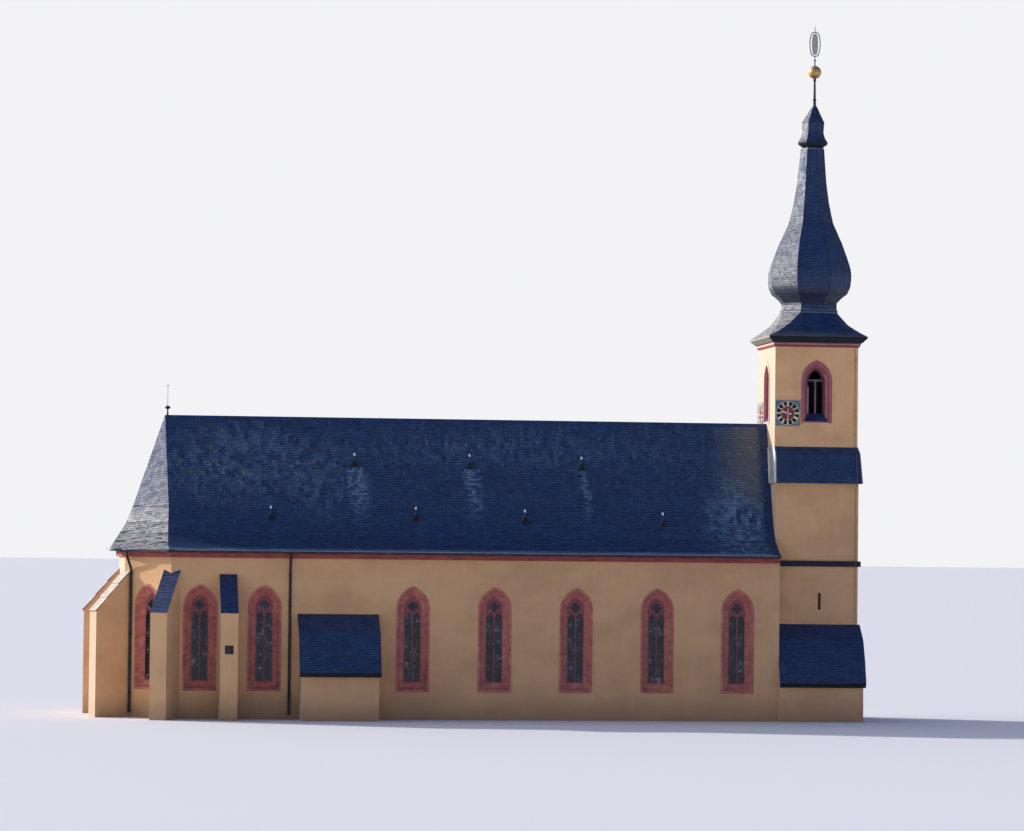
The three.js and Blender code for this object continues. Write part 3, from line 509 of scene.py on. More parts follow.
# The east dial is mixed paler: painted sunlight.
dial_blue.facing("d6cfcc", 0.3, X=-1.0, Z=0.0, Absent=0.9, Full=0.97)
dial_blue.bump(0.01, 0.0005)

dial_red = Finish("red disc paint", "86363b", 0.55)
dial_red.patches("652634", 0.8, Size=0.1, Height=0.1, Low=0.4, High=0.7)

dial_black = Finish("black ring paint", "0b0c11", 0.6)
dial_black.patches("1d1710", 0.8, Size=0.06, Height=0.06, Low=0.4, High=0.7)

# Near white: the gilding's pale gold and a painted reflection of the sky.
dial_gold = Finish("gilded numerals", "fff4d2", 0.45)
dial_gold.patches("e6d08c", 0.6, Size=0.04, Height=0.04, Low=0.5, High=0.7)

oak = Finish("oak boards", "5a4030", 0.7)
oak.patches("3e2b20", 0.9, Size=0.04, Height=0.9, Low=0.35, High=0.7)
oak.by_attribute("tone", "6f5340", 0.4, 1.0, 0.6)
oak.bump(0.01, 0.001)

# The dark base stands for the dim inside: painted shade. Paler tones are each pane's own tone and painted
# reflection of the sky.
leaded_glass = Finish("leaded glass", "1d232c", 0.15, IOR=1.5)
leaded_glass.by_attribute("tone", "3b4653", 0.4, 0.7)
leaded_glass.by_attribute("tone", "6d6a80", 0.72, 0.85)
leaded_glass.by_attribute("tone", "b9b3a4", 0.9, 1.0, 0.8)

lead_came = Finish("lead cames", "26282e", 0.55, Metallic=0.5)
lead_came.patches("44464c", 0.6, Size=0.05, Height=0.05, Low=0.4, High=0.7)
print("finishes:", len(bpy.data.materials))

# %% Finishes on the solids
finish_of_slot = {
    "lime_plaster": lime_plaster, "red_sandstone": red_sandstone, "roof_slate": dark_boarding_and_shade,
    "leaded_glass": leaded_glass, "floor_stone": floor_stone, "rain_metal": rain_metal,
    "wrought_iron": wrought_iron, "gilded_metal": gilding, "dial_paint": dial_blue, "oak_boards": oak,
}
finish_of_node = {
    "tower_string_course": dark_sandstone, "tower_cornice": cornice_stone, "eaves_cornice": eaves_stone,
    "spire_foot": eaves_boards,
    "clock_north_hour_hand": hand_gilding, "clock_north_minute_hand": hand_gilding,
    "clock_east_hour_hand": hand_gilding, "clock_east_minute_hand": hand_gilding,
}
for part in frame["record"]["subparts"]:
    finish = finish_of_node.get(part["node"], finish_of_slot[part["material_slot"]])
    mesh = nodes[part["node"]].data
    mesh.materials.clear()
    mesh.materials.append(finish.material)

# %% [markdown]
# ## Laying slates
#
# A roof is covered in courses from the eaves up. Each slate lies on the one below it, so its lower edge
# stands a little proud and its head is tucked in. Tens of thousands of them are needed, so every slate is
# one small wedge with its corners in an array, and a whole field becomes a single mesh. The planes to
# cover are read from the solid itself, and every course is cut to its plane's width at its height.

# %% Wedges in an array
WEDGE_FACES = np.array([[3, 2, 1, 0], [4, 5, 6, 7], [0, 1, 5, 4], [1, 2, 6, 5], [2, 3, 7, 6], [3, 0, 4, 7]])
WEDGE_CORNERS = len(WEDGE_FACES) + 2
chance = np.random.default_rng(41)


def place_piece(name, mesh, finish, body="church"):
    """Makes a mesh one piece of the part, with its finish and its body."""
    mesh.materials.append(finish.material)
    piece = bpy.data.objects.new(name, mesh)
    bpy.context.scene.collection.objects.link(piece)
    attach(piece, body)
    print(f"{name}: {sum(len(face.vertices) - 2 for face in mesh.polygons)} triangles")
    return piece


def wedge_piece(name, corners, numbers, finish):
    """One mesh from many eight-cornered wedges, with a stored number for each wedge or each corner."""
    count = len(corners)
    faces = (WEDGE_FACES[None] + WEDGE_CORNERS * np.arange(count)[:, None, None]).reshape(-1, 4)
    mesh = bpy.data.meshes.new(name)
    mesh.from_pydata(np.reshape(corners, (-1, 3)).tolist(), [], faces.tolist())
    for key, values in numbers.items():
        attribute = mesh.attributes.new(key, "FLOAT", "POINT")
        values = np.asarray(values, np.float32).reshape(count, -1)
        attribute.data.foreach_set("value", np.broadcast_to(values, (count, WEDGE_CORNERS)).ravel())
    return place_piece(name, mesh, finish)


# %% Planes of a solid
def merged_copy(node):
    bm = bmesh.new()
    bm.from_mesh(nodes[node].data)
    bmesh.ops.remove_doubles(bm, verts=bm.verts, dist=0.00005)
    return bm


def plane_faces(node, keep, smallest=0.004):
    """Corners and normal of each flat face of a solid that keep(normal, middle) accepts."""
    bm = merged_copy(node)
    bmesh.ops.dissolve_limit(bm, angle_limit=math.radians(0.4), verts=bm.verts, edges=bm.edges)
    planes = []
    for face in bm.faces:
        if face.calc_area() > smallest and keep(face.normal, face.calc_center_median()):
            planes.append((np.array([v.co for v in face.verts]), np.array(face.normal)))
    bm.free()
    return planes


# %% Courses on one plane
slate_exposure = 0.08
slate_width = 0.13
slate_lap = 1.25
slate_sink = 0.003
slate_thickness = 0.010
joint = 0.004
side_jitter = 0.12
foot_jitter = 0.05
least_share = 0.1


def corner_lifts(thickness, count):
    """How far the four corners of each slate stand off the roof: its foot is proud, its head tucked in."""
    lift = thickness * chance.uniform(0.8, 1.4, count)
    low = [lift, lift * chance.uniform(0.85, 1.15, count)]
    high = [lift * chance.uniform(0, 0.35, count) for _ in range(2)]
    return np.stack(low + high, axis=1)


def slate_wedges(quad, normal, thickness):
    """Eight corners of each slate, from its four corners on the roof."""
    lifts = corner_lifts(thickness, len(quad))
    return np.concatenate([quad - normal * slate_sink, quad + lifts[..., None] * normal], axis=1)


def row_extent(points, height):
    """Where a level line crosses a polygon given as pairs of place along and height."""
    after = np.roll(points, -1, axis=0)
    low = np.minimum(points[:, 1], after[:, 1])
    high = np.maximum(points[:, 1], after[:, 1])
    hit = (low <= height) & (high >= height) & (high - low > 1e-9)
    if hit.sum() < 2:
        return None
    share = (height - points[hit, 1]) / (after[hit, 1] - points[hit, 1])
    across = points[hit, 0] + share * (after[hit, 0] - points[hit, 0])
    return across.min(), across.max()


def lay_on_plane(corners, normal, exposure, width, rise=0.0, overhang=0.0, thickness=slate_thickness):
    """Corners of the slates on one plane, in courses that may climb at an angle."""
    level = np.cross([0.0, 0.0, 1.0], normal)
    level = level / np.linalg.norm(level)
    slope = np.cross(normal, level)
    along = level * math.cos(rise) + slope * math.sin(rise)
    up = slope * math.cos(rise) - level * math.sin(rise)
    origin = corners.mean(axis=0)
    flat = np.stack([(corners - origin) @ along, (corners - origin) @ up], axis=1)
    low, high = flat[:, 1].min(), flat[:, 1].max()
    courses = max(1, round((high - low) / exposure))
    step = (high - low) / courses
    tiny = 1e-4
    wedges = [np.zeros((0, WEDGE_CORNERS, 3))]
    for course in range(courses):
        bottom = low + course * step
        top = min(bottom + step * slate_lap, high)
        lower = row_extent(flat, bottom + tiny)
        upper = row_extent(flat, top - tiny)
        if lower is None or upper is None:
            continue
        if course == 0:
            bottom -= overhang
        lower = (lower[0] - overhang, lower[1] + overhang)
        upper = (upper[0] - overhang, upper[1] + overhang)
        start, end = min(lower[0], upper[0]), max(lower[1], upper[1])
        places = np.arange(start - width * chance.uniform(0.2, 0.9), end + width, width)
        places = places + chance.uniform(-side_jitter, side_jitter, len(places)) * width
        left, right = places[:-1] + joint / 2, places[1:] - joint / 2
        foot = bottom + chance.normal(0, foot_jitter, len(left)) * step
        head = np.full(len(left), top)
        quad = np.stack([
            np.stack([np.clip(left, *lower), foot], axis=1),
            np.stack([np.clip(right, *lower), foot], axis=1),
            np.stack([np.clip(right, *upper), head], axis=1),
            np.stack([np.clip(left, *upper), head], axis=1),
        ], axis=1)
        widths = quad[:, 1, 0] - quad[:, 0, 0] + quad[:, 2, 0] - quad[:, 3, 0]
        quad = quad[widths > least_share * width]
        surface = origin + quad[..., :1] * along + quad[..., 1:] * up
        wedges.append(slate_wedges(surface, normal, thickness))
    return np.concatenate(wedges)


# %% [markdown]
# ## Weather and painted light on the slates
#
# Lichen, moss and wash-off lie slate by slate, and so do painted sheen and painted shade, so their numbers
# are worked out for each slate's middle and stored on its corners. Old patches grow on the north slope, rain
# washes pale streaks down below each vent and over the eaves, and a strip beside the tower stays clean and
# dark. Slates that look east are painted paler as a painted sunlit sheen, by a share that changes with the
# height, and a band round the spire's bulb is darker, as grime and painted shade.

# %% Weather on the main roof
# Each vent: its place along and up the slope, and the strength and half width of the streak below it
vents = (
    (-4.085, 8.03, 0.9, 0.3),
    (-0.337, 8.05, 0.9, 0.24),
    (3.33, 8.01, 0.6, 0.12),
    (-6.80, 6.29, 0.1, 0.1),
    (-2.137, 6.305, 0.15, 0.1),
    (1.40, 6.26, 0.1, 0.1),
    (5.914, 6.225, 0.1, 0.1),
)
streak_length = 2.1
# Each patch of lichen: its middle along and up the slope, its half sizes and its strength
old_patches = (
    (-7.8, 8.2, 2.8, 1.3, 0.6),
    (-5.0, 7.6, 1.2, 1.6, 0.35),
    (8.5, 6.4, 1.3, 1.7, 1.0),
    (1.5, 8.7, 6.0, 0.7, 0.35),
)
choir_moss = (-7.6, 8.0, 3.4, 1.6)
eaves_height = 5.38
clean_from, clean_beyond = 9.15, 9.35
streak_fineness, speck_fineness = (9.0, 0.5), (17.0, 13.0)
moss_streaks, moss_specks = (8.0, 0.5, 31.0), (15.0, 11.0, 7.0)


def soft_step(value, absent, full):
    share = min(max((value - absent) / (full - absent), 0.0), 1.0)
    return share * share * (3 - 2 * share)


def cloudiness(place, along, upward, shift=0.0):
    """Smooth noise from 0 to 1, with its own fineness along the roof and up it."""
    x, y, z = place
    return 0.5 + 0.5 * noise.noise(Vector((x * along + shift, y * along, z * upward)))


def oval_share(x, z, oval, absent, full):
    """How far a place lies inside an oval on the slope, given as its middle and its half sizes."""
    middle_x, middle_z, half_x, half_z = oval
    far = math.hypot((x - middle_x) / half_x, (z - middle_z) / half_z)
    return soft_step(far, absent, full)


def weather_of(place):
    """Lichen and wash from 0 to 1 at one place on the nave's roof."""
    x, _, z = place
    streaks = cloudiness(place, *streak_fineness)
    speck = soft_step(cloudiness(place, *speck_fineness), 0.35, 0.65)
    total = 0.10 * streaks + 0.05 * speck
    for *oval, strength in old_patches:
        growth = oval_share(x, z, oval, 1.3, 0.3) * soft_step(streaks, 0.3, 0.75)
        total += strength * growth * (0.55 + 0.45 * speck)
    for vent_x, vent_z, strength, half_width in vents:
        side = abs(x - vent_x - 0.12 - 0.06 * math.sin(3 * z))
        fall = vent_z - z
        if 0 < fall < streak_length:
            inside = soft_step(side, half_width * 1.4, half_width * 0.5)
            total += strength * inside * soft_step(fall, streak_length, 0.5) * (0.15 + 0.85 * speck)
    total += 1.2 * soft_step(z, eaves_height + 0.05, eaves_height) * (0.3 + 0.7 * cloudiness(place, 2.5, 1.0))
    return min(total, 1.0) * soft_step(x, clean_beyond, clean_from)


def moss_of(place):
    """Brown moss from 0 to 1, thickest high on the roof beside the tower."""
    x, _, z = place
    patch = soft_step(x, 7.4, 9.0) * soft_step(z, 6.6, 7.8) * soft_step(x, 9.35, 9.1)
    streaks = soft_step(cloudiness(place, *moss_streaks), 0.5, 0.8)
    speck = 0.4 + 0.6 * cloudiness(place, *moss_specks)
    choir = oval_share(x, z, choir_moss, 1.2, 0.3)
    return min(1.0, (0.8 * patch + (0.2 + 0.35 * choir) * streaks * soft_step(z, 6.0, 8.0)) * speck)


def no_weather(place):
    return 0.06 + 0.08 * noise.noise(Vector(place) * 3.0)


def no_moss(place):
    return 0.0


def foot_moss(place):
    """Pale growth on the lowest courses of the spire's square foot."""
    return 0.55 * soft_step(place[2], 12.72, 12.5) * (0.5 + 0.5 * cloudiness(place, 9.0, 9.0))


# %% Painted sheen, grime and painted shade on the slates
# Pairs of height and share: the choir's roof, the spire's foot, its bulb and neck, and its cap
painted_sheen = (
    (5.1, 0.15), (5.25, 1.0), (6.2, 0.85), (7.0, 0.12), (9.6, 0.06),
    (12.4, 1.0), (13.3, 0.95), (13.54, 0.9),
    (13.6, 0.05), (14.0, 0.05), (14.1, 0.52), (16.5, 0.43), (17.5, 0.08),
    (18.6, 0.08), (18.8, 0.55),
)
# Pairs of height and share of the dark band round the spire's bulb, which is grime and painted shade
bulb_grime_and_shade = ((13.52, 0), (13.58, 0.65), (13.95, 0.65), (14.25, 0))
spared_share, spared_amount = 0.06, 0.4


def painted_sheen_share(corners):
    """How strongly each slate is painted paler as a sunlit sheen, which grows with how much it looks east."""
    normals = np.cross(corners[:, 5] - corners[:, 4], corners[:, 7] - corners[:, 4])
    normals = normals / np.linalg.norm(normals, axis=1)[:, None]
    east = -normals[:, 0] / np.hypot(normals[:, 0], normals[:, 1])
    share = np.clip((east - 0.3) / 0.3, 0, 1) * np.interp(corners[:, 4, 2], *zip(*painted_sheen))
    share[chance.uniform(0, 1, len(corners)) < spared_share] *= spared_amount
    return np.clip(share * (1 + chance.normal(0, 0.3, len(corners))), 0, 1.2)


def slate_piece(name, corners, weather=no_weather, moss=no_moss):
    """A field of slates with its weather, painted sheen and painted shade. Fall grows from the foot of each
    slate to its head, which the finish darkens as painted shadow of the course above.
    """
    lengths = np.linalg.norm(corners[:, 3] - corners[:, 0], axis=1)
    head = np.minimum(lengths / np.median(lengths), 1)
    foot = np.zeros(len(corners))
    numbers = {
        "tone": chance.uniform(0, 1, len(corners)),
        "lichen": [weather(spot) for spot in corners.mean(axis=1)],
        "moss": [moss(spot) for spot in corners.mean(axis=1)],
        "painted_sheen": painted_sheen_share(corners),
        "bulb_grime_and_shade": np.interp(corners[:, 0, 2], *zip(*bulb_grime_and_shade)),
        "fall": np.stack([foot, foot, head, head] * 2, axis=1),
    }
    return wedge_piece(name, corners, numbers, roof_slate)


def lay_slates(
    name, planes, exposure=slate_exposure, width=slate_width, weather=no_weather, moss=no_moss, **options
):
    """Covers planes with slates as one piece."""
    laid = np.concatenate([lay_on_plane(*plane, exposure, width, **options) for plane in planes])
    return slate_piece(name, laid, weather, moss)


# %% Slates on the main roof
roof_planes = plane_faces("main_roof", lambda normal, middle: normal.z > 0.1)
facing_north = [plane for plane in roof_planes if plane[1][1] < -0.3 and abs(plane[1][0]) < 0.1]
facing_south = [plane for plane in roof_planes if plane[1][1] > 0.3 and abs(plane[1][0]) < 0.1]
facing_east = [plane for plane in roof_planes if plane[1][0] < -0.1]
lay_slates("slates_nave_north", facing_north, weather=weather_of, moss=moss_of)
lay_slates("slates_nave_south", facing_south, weather=weather_of, moss=moss_of)
lay_slates("slates_apse", facing_east, rise=math.radians(5))

# %% [markdown]
# ## Slates on the tower
#
# The tower has slates in four places: the skirt where it steps in, the square foot of the spire, the
# onion itself and its small cap. The spire is twisted, so its sides are not quite flat. Each is covered
# between its two hip lines, which run up through rings of eight corners and are cut where the slope turns
# sharply. The lean-tos, the buttresses and the sills of the bell windows are covered plane by plane.


# %% Rings of a many-sided spire
def outer_rings(node, sides=8, same_level=0.0006, inner_share=0.55):
    """The outermost corners at each height of a solid, from the bottom up, without its inner rings."""
    bm = merged_copy(node)
    spots = np.array([v.co for v in bm.verts])
    bm.free()
    heights = sorted(set(np.round(spots[:, 2], 3)))
    rings = []
    for height in heights:
        level = spots[np.abs(spots[:, 2] - height) < same_level]
        if len(level) < sides:
            continue
        middle = (level.max(axis=0) + level.min(axis=0)) / 2
        reach = np.hypot(*(level - middle)[:, :2].T)
        level = level[np.argsort(-reach)[:sides]]
        middle = level.mean(axis=0)
        order = np.argsort(np.arctan2(level[:, 1] - middle[1], level[:, 0] - middle[0]))
        rings.append(level[order])
    reaches = np.array([np.hypot(*(ring - ring.mean(axis=0))[:, :2].T).mean() for ring in rings])
    return [
        ring for i, ring in enumerate(rings)
        if reaches[i] > inner_share * max(reaches[max(i - 1, 0)], reaches[min(i + 1, len(rings) - 1)])
        or i in (0, len(rings) - 1)
    ]


def facet_strips(rings, sharp=math.radians(28), shortest=0.03):
    """Pairs of lines up both sides of every facet, cut where the slope turns sharply."""
    reach = [np.hypot(*(ring - ring.mean(axis=0))[:, :2].T).mean() for ring in rings]
    slopes = [
        math.atan2(upper[0][2] - lower[0][2], wide - narrow)
        for lower, upper, wide, narrow in zip(rings[:-1], rings[1:], reach[1:], reach[:-1])
    ]
    cuts = [0] + [i for i in range(1, len(slopes)) if abs(slopes[i] - slopes[i - 1]) > sharp] + [len(slopes)]
    strips = []
    for first, last in zip(cuts[:-1], cuts[1:]):
        stack = np.array(rings[first:last + 1])
        if np.linalg.norm(np.diff(stack[:, 0], axis=0), axis=1).sum() > shortest:
            sides = stack.shape[1]
            strips += [(stack[:, side], stack[:, (side + 1) % sides]) for side in range(sides)]
    return strips


strip_float = 0.006


def point_along(line, climbed, reach):
    """The place on a line of points at one length climbed."""
    return np.array([np.interp(reach, climbed, line[:, i]) for i in range(3)])


def lay_on_strip(left_line, right_line, exposure, width, thickness=slate_thickness):
    """Corners of the slates between two lines that climb side by side."""
    middle = (left_line + right_line) / 2
    climbed = np.concatenate([[0], np.cumsum(np.linalg.norm(np.diff(middle, axis=0), axis=1))])
    courses = max(1, round(climbed[-1] / exposure))
    step = climbed[-1] / courses
    wedges = []
    for course in range(courses):
        ends = (course * step, min((course + slate_lap) * step, climbed[-1]))
        low_left, high_left = (point_along(left_line, climbed, end) for end in ends)
        low_right, high_right = (point_along(right_line, climbed, end) for end in ends)
        span = np.linalg.norm(low_right - low_left)
        shares = np.arange(-chance.uniform(0.1, 0.9), span / width + 1) * width / span
        jitter = chance.uniform(-side_jitter, side_jitter, len(shares))
        shares = np.clip(shares + jitter * width / span, 0, 1)
        left, right = shares[:-1, None], shares[1:, None] - joint / span
        wide = (right - left)[:, 0] > least_share * width / span
        left, right = left[wide], right[wide]
        drop = chance.normal(0, foot_jitter, (len(left), 1)) * (high_left - low_left)
        quad = np.stack([
            low_left + (low_right - low_left) * left + drop,
            low_left + (low_right - low_left) * right + drop,
            high_left + (high_right - high_left) * right,
            high_left + (high_right - high_left) * left,
        ], axis=1)
        normal = np.cross(low_right - low_left, high_left - low_left)
        normal = normal / np.linalg.norm(normal)
        wedges.append(slate_wedges(quad + normal * strip_float, normal, thickness))
    return np.concatenate(wedges)


# %% Slates on the spire, the skirt and the small roofs
def shed_planes(node):
    """The outer slopes of a lean-to roof, which look north and up."""
    return plane_faces(node, lambda normal, middle: normal.z > 0.1 and normal.y < -0.1)


def looks_outwards(normal, middle):
    """Whether a face is a slope that looks away from the tower's middle."""
    away = Vector((middle.x - tower_middle.x, middle.y - tower_middle.y, 0))
    return normal.dot(away) > 0 and 0.02 < normal.z < 0.98


foot_eaves = 12.47
cap_eaves = 18.97
spire_slates = {"spire_foot": (0.07, 0.11), "spire": (0.075, 0.11), "spire_cap": (0.07, 0.09)}
rings = {node: outer_rings(node) for node in spire_slates}
for node, (exposure, width) in spire_slates.items():
    strips = facet_strips([ring for ring in rings[node] if ring[0][2] > foot_eaves])
    # The flared underside of the cap gets no slates, so the dark boarding there stands as painted shade.
    if node == "spire_cap":
        strips = [strip for strip in strips if strip[0][-1][2] > cap_eaves]
    print(node, "rings at", [round(float(ring[0][2]), 3) for ring in rings[node]], "strips:", len(strips))
    laid = np.concatenate([lay_on_strip(*strip, exposure, width) for strip in strips])
    slate_piece(f"slates_{node}", laid, moss=foot_moss if node == "spire_foot" else no_moss)
lay_slates("slates_tower_skirt", plane_faces("tower_skirt_roof", looks_outwards), exposure=0.075, width=0.11)
lay_slates("slates_vestry", shed_planes("vestry_roof"))
lay_slates("slates_annex", shed_planes("annex_roof"))


# %% Slates on the buttresses and bell window sills
def is_coping(normal, middle):
    return normal.z > 0.3


def is_sill(normal, middle):
    return 0.3 < normal.z < 0.95 and middle.z < 10.2


for name in ("north", "choir_north", "choir_south", "south"):
    copings = plane_faces(f"buttress_{name}", is_coping, 0.2)
    lay_slates(f"coping_{name}", copings, exposure=0.12, width=0.15, overhang=0.006)
for word in ("north", "east", "south", "west"):
    sills = plane_faces(f"bell_window_{word}", is_sill)
    lay_slates(f"bell_sill_{word}", sills, exposure=0.09, width=0.12, thickness=0.01)

# %% [markdown]
# ## Ridge and vents
#
# The ridge is closed by a row of slates on each side. Seven small hooded vents let the roof space
# breathe on the north slope, and as many are guessed on the south. A hood is two triangular wings that
# meet in a ridge rising to the slope behind, with a white zinc knob where it ends, and a dark sheet closes
# its opening as painted shade.


# %% Helpers for small pieces
weld_distance = 0.00002


def finished_mesh(bm, name, sharp=math.radians(35)):
    """Turns a bmesh into a mesh with merged corners, outward normals and smooth curved sides."""
    bmesh.ops.remove_doubles(bm, verts=bm.verts, dist=weld_distance)
    bmesh.ops.recalc_face_normals(bm, faces=bm.faces)
    for face in bm.faces:
        face.smooth = True
    for edge in bm.edges:
        edge.smooth = edge.is_manifold and edge.calc_face_angle() < sharp
    mesh = bpy.data.meshes.new(name)
    bm.to_mesh(mesh)
    bm.free()
    return mesh


def joined_mesh(meshes_and_places, name):
    """One mesh from many copies of meshes, each with its own matrix."""
    whole = bmesh.new()
    for mesh, place in meshes_and_places:
        before = len(whole.verts)
        whole.from_mesh(mesh)
        whole.verts.ensure_lookup_table()
        bmesh.ops.transform(whole, matrix=place, verts=whole.verts[before:])
    result = bpy.data.meshes.new(name)
    whole.to_mesh(result)
    whole.free()
    return result


def copies_piece(name, meshes_and_places, finish):
    """One piece from many copies of meshes."""
    return place_piece(name, joined_mesh(meshes_and_places, name), finish)


def quad_sheet(rows):
    """Quads through equal rows of points, merged where rows or columns meet again."""
    rows = np.asarray(rows)
    bm = bmesh.new()
    made = bmesh.ops.create_grid(bm, x_segments=rows.shape[1] - 1, y_segments=rows.shape[0] - 1, size=1)
    ordered = sorted(made["verts"], key=lambda vert: (round(vert.co.y, 5), vert.co.x))
    for vert, spot in zip(ordered, rows.reshape(-1, 3)):
        vert.co = spot
    bmesh.ops.remove_doubles(bm, verts=bm.verts, dist=weld_distance)
    return bm


def bar(start, end, width, depth, facing):
    """Eight corners of a straight bar that stands proud of a surface by its depth."""
    start, end, facing = (np.asarray(v, float) for v in (start, end, facing))
    along = (end - start) / np.linalg.norm(end - start)
    sideways = np.cross(along, facing)
    sideways = sideways / np.linalg.norm(sideways) * width / 2
    outwards = np.cross(sideways, along)
    outwards = outwards / np.linalg.norm(outwards) * depth
    foot = np.array([start - sideways, start + sideways, end + sideways, end - sideways])
    return np.concatenate([foot, foot + outwards])


def bar_piece(name, bars, finish):
    """One mesh from many bars, each with its own tone."""
    corners = np.array(bars)
    return wedge_piece(name, corners, {"tone": chance.uniform(0, 1, len(corners))}, finish)


def lathe(profile, sides=24):
    """A turned body from pairs of radius and height."""
    bm = bmesh.new()
    verts = [bm.verts.new((radius, 0, height)) for radius, height in profile]
    edges = [bm.edges.new(pair) for pair in zip(verts, verts[1:])]
    bmesh.ops.spin(
        bm, geom=verts + edges, cent=(0, 0, 0), axis=(0, 0, 1), angle=2 * math.pi, steps=sides, use_merge=True
    )
    return finished_mesh(bm, "turned")


def tube(points, radius, sides=8):
    """A round bar that follows a chain of points."""
    bm = bmesh.new()
    points = [Vector(point) for point in points]
    loops = []
    for before, point, after in zip([points[0]] + points, points, points[1:] + [points[-1]]):
        turn = (after - before).to_track_quat("Z", "Y").to_matrix().to_4x4()
        place = Matrix.Translation(point) @ turn
        made = bmesh.ops.create_circle(bm, segments=sides, radius=radius, matrix=place)
        loops.append(list(dict.fromkeys(edge for vert in made["verts"] for edge in vert.link_edges)))
    for first, second in zip(loops, loops[1:]):
        bmesh.ops.bridge_loops(bm, edges=first + second)
    bmesh.ops.holes_fill(bm, edges=[edge for edge in bm.edges if edge.is_boundary], sides=0)
    return finished_mesh(bm, "tube")


def on_wall(x, y, z, turn=0.0):
    """Matrix of a frame on a wall, with X along it and -Y out of it."""
    return Matrix.Translation((x, y, z)) @ Matrix.Rotation(turn, 4, "Z")


def on_axis(node):
    """Matrix that moves a turned body onto the upright middle line of a solid."""
    middle = middle_of(node)
    return Matrix.Translation((middle.x, middle.y, 0))


# %% Ridge slates
ridge_above = 8.0
ridge_width = 0.12
ridge_step = 0.13
ridge_length = 0.14
ridge_thickness = 0.014
ridge_bars = []
for corners, normal in facing_north + facing_south:
    highest = corners[np.argsort(-corners[:, 2])[:2]]
    if highest[:, 2].min() < ridge_above or abs(highest[0][2] - highest[1][2]) > 0.01:
        continue
    west, east = sorted(highest.tolist(), reverse=True)
    down = np.cross(normal, np.cross(normal, [0, 0, 1.0]))
    down = down / np.linalg.norm(down)
    for start in np.arange(east[0], west[0] - 0.02, ridge_step):
        stop = min(start + ridge_length, west[0])
        middle = np.array([(start + stop) / 2, east[1], east[2]])
        ridge_bars.append(bar(middle, middle + down * ridge_width, stop - start, ridge_thickness, normal))
bar_piece("slates_ridge", ridge_bars, roof_slate)


# %% Hooded vents
def roof_side(x, z):
    """How far the north slope stands from the middle of the nave at one place."""
    for corners, normal in facing_north:
        if corners[:, 2].min() <= z <= corners[:, 2].max():
            origin = corners[0]
            return origin[1] - (normal[2] * (z - origin[2]) + normal[0] * (x - origin[0])) / normal[1]
    raise ValueError(f"no roof at height {z}")


vent_half = 0.17
vent_height = 0.26
vent_tail = 0.40
hood_overhang = 0.03
hood_thickness = 0.014
front_thickness = 0.01
knob_length, knob_sunk = 0.09, 0.03
knob_width, knob_depth = 0.06, 0.05
knob_facing = (0, -0.8, 0.6)
hoods, fronts, knobs = bmesh.new(), bmesh.new(), []
for x, z, *_ in vents:
    face_y = roof_side(x, z)
    back = Vector((x, roof_side(x, z + vent_tail), z + vent_tail))
    apex = Vector((x, face_y - hood_overhang, z + vent_height))
    for side in (-1, 1):
        foot = Vector((x + side * vent_half, face_y - hood_overhang, z - 0.01))
        bmesh.ops.contextual_create(hoods, geom=[hoods.verts.new(spot) for spot in (foot, apex, back)])
    triangle = ((x - vent_half, face_y, z), (x + vent_half, face_y, z), (x, face_y, z + vent_height))
    bmesh.ops.contextual_create(fronts, geom=[fronts.verts.new(spot) for spot in triangle])
    upslope = (back - Vector((x, face_y, z))).normalized()
    knob_ends = (back - upslope * knob_sunk, back + upslope * (knob_length - knob_sunk))
    knobs.append(bar(*knob_ends, knob_width, knob_depth, knob_facing))
# The fronts are dark sheets in the openings: painted shade.
for name, bm, thickness, finish in (
    ("vent_hoods", hoods, hood_thickness, vent_slate), ("vent_fronts_painted_shade", fronts, front_thickness, dark_boarding_and_shade),
):
    bmesh.ops.recalc_face_normals(bm, faces=bm.faces)
    bmesh.ops.solidify(bm, geom=bm.faces[:], thickness=thickness)
    bmesh.ops.mirror(bm, geom=bm.verts[:] + bm.edges[:] + bm.faces[:], axis="Y", merge_dist=0.0001)
    place_piece(name, finished_mesh(bm, name), finish)
knobs = np.array(knobs)
mirrored_order = [1, 0, 3, 2, 5, 4, 7, 6]
south_knobs = knobs[:, mirrored_order] * [1, -1, 1]
wedge_piece("vent_tips", np.concatenate([knobs, south_knobs]), {}, white_zinc)
print("vents on each side:", len(vents))

# %% [markdown]
# ## Spire and ridge metalwork
#
# Sheet lead is dressed round the spire at its waist and under its cap as an eight-sided roll. On top
# stand a wrought iron rod, a gilded ball of two halves with a seam, and a thin iron ring round a pale
# silvered plate. A smaller iron spike with a flat disc ends the ridge in the east. Every round part is
# spun from a profile of radius and height, as on a lathe.


# %% Lead rolls round the spire
def roll_round(ring, lift, reach, height):
    """A round roll of lead along a ring of corners, lifted a little."""
    ring = ring + np.array([0, 0, lift])
    middle = ring.mean(axis=0)
    radius = np.hypot(*(ring[0] - middle)[:2])
    around = np.concatenate([ring, ring[:1]])
    rows = []
    for turn in np.linspace(0, 2 * math.pi, 9):
        grown = middle + (around - middle) * (1 + reach * math.cos(turn) / radius)
        grown[:, 2] = around[:, 2] + height * math.sin(turn)
        rows.append(grown)
    return finished_mesh(quad_sheet(rows), "roll")


roll_sizes = ((0, 0.02, 0.025, 0.03), (1, 0.03, 0.02, 0.02), (-1, -0.03, 0.02, 0.035))
rolls = [roll_round(rings["spire"][index], *sizes) for index, *sizes in roll_sizes]
copies_piece("spire_rolls", [(roll, Matrix()) for roll in rolls], shaded_lead)

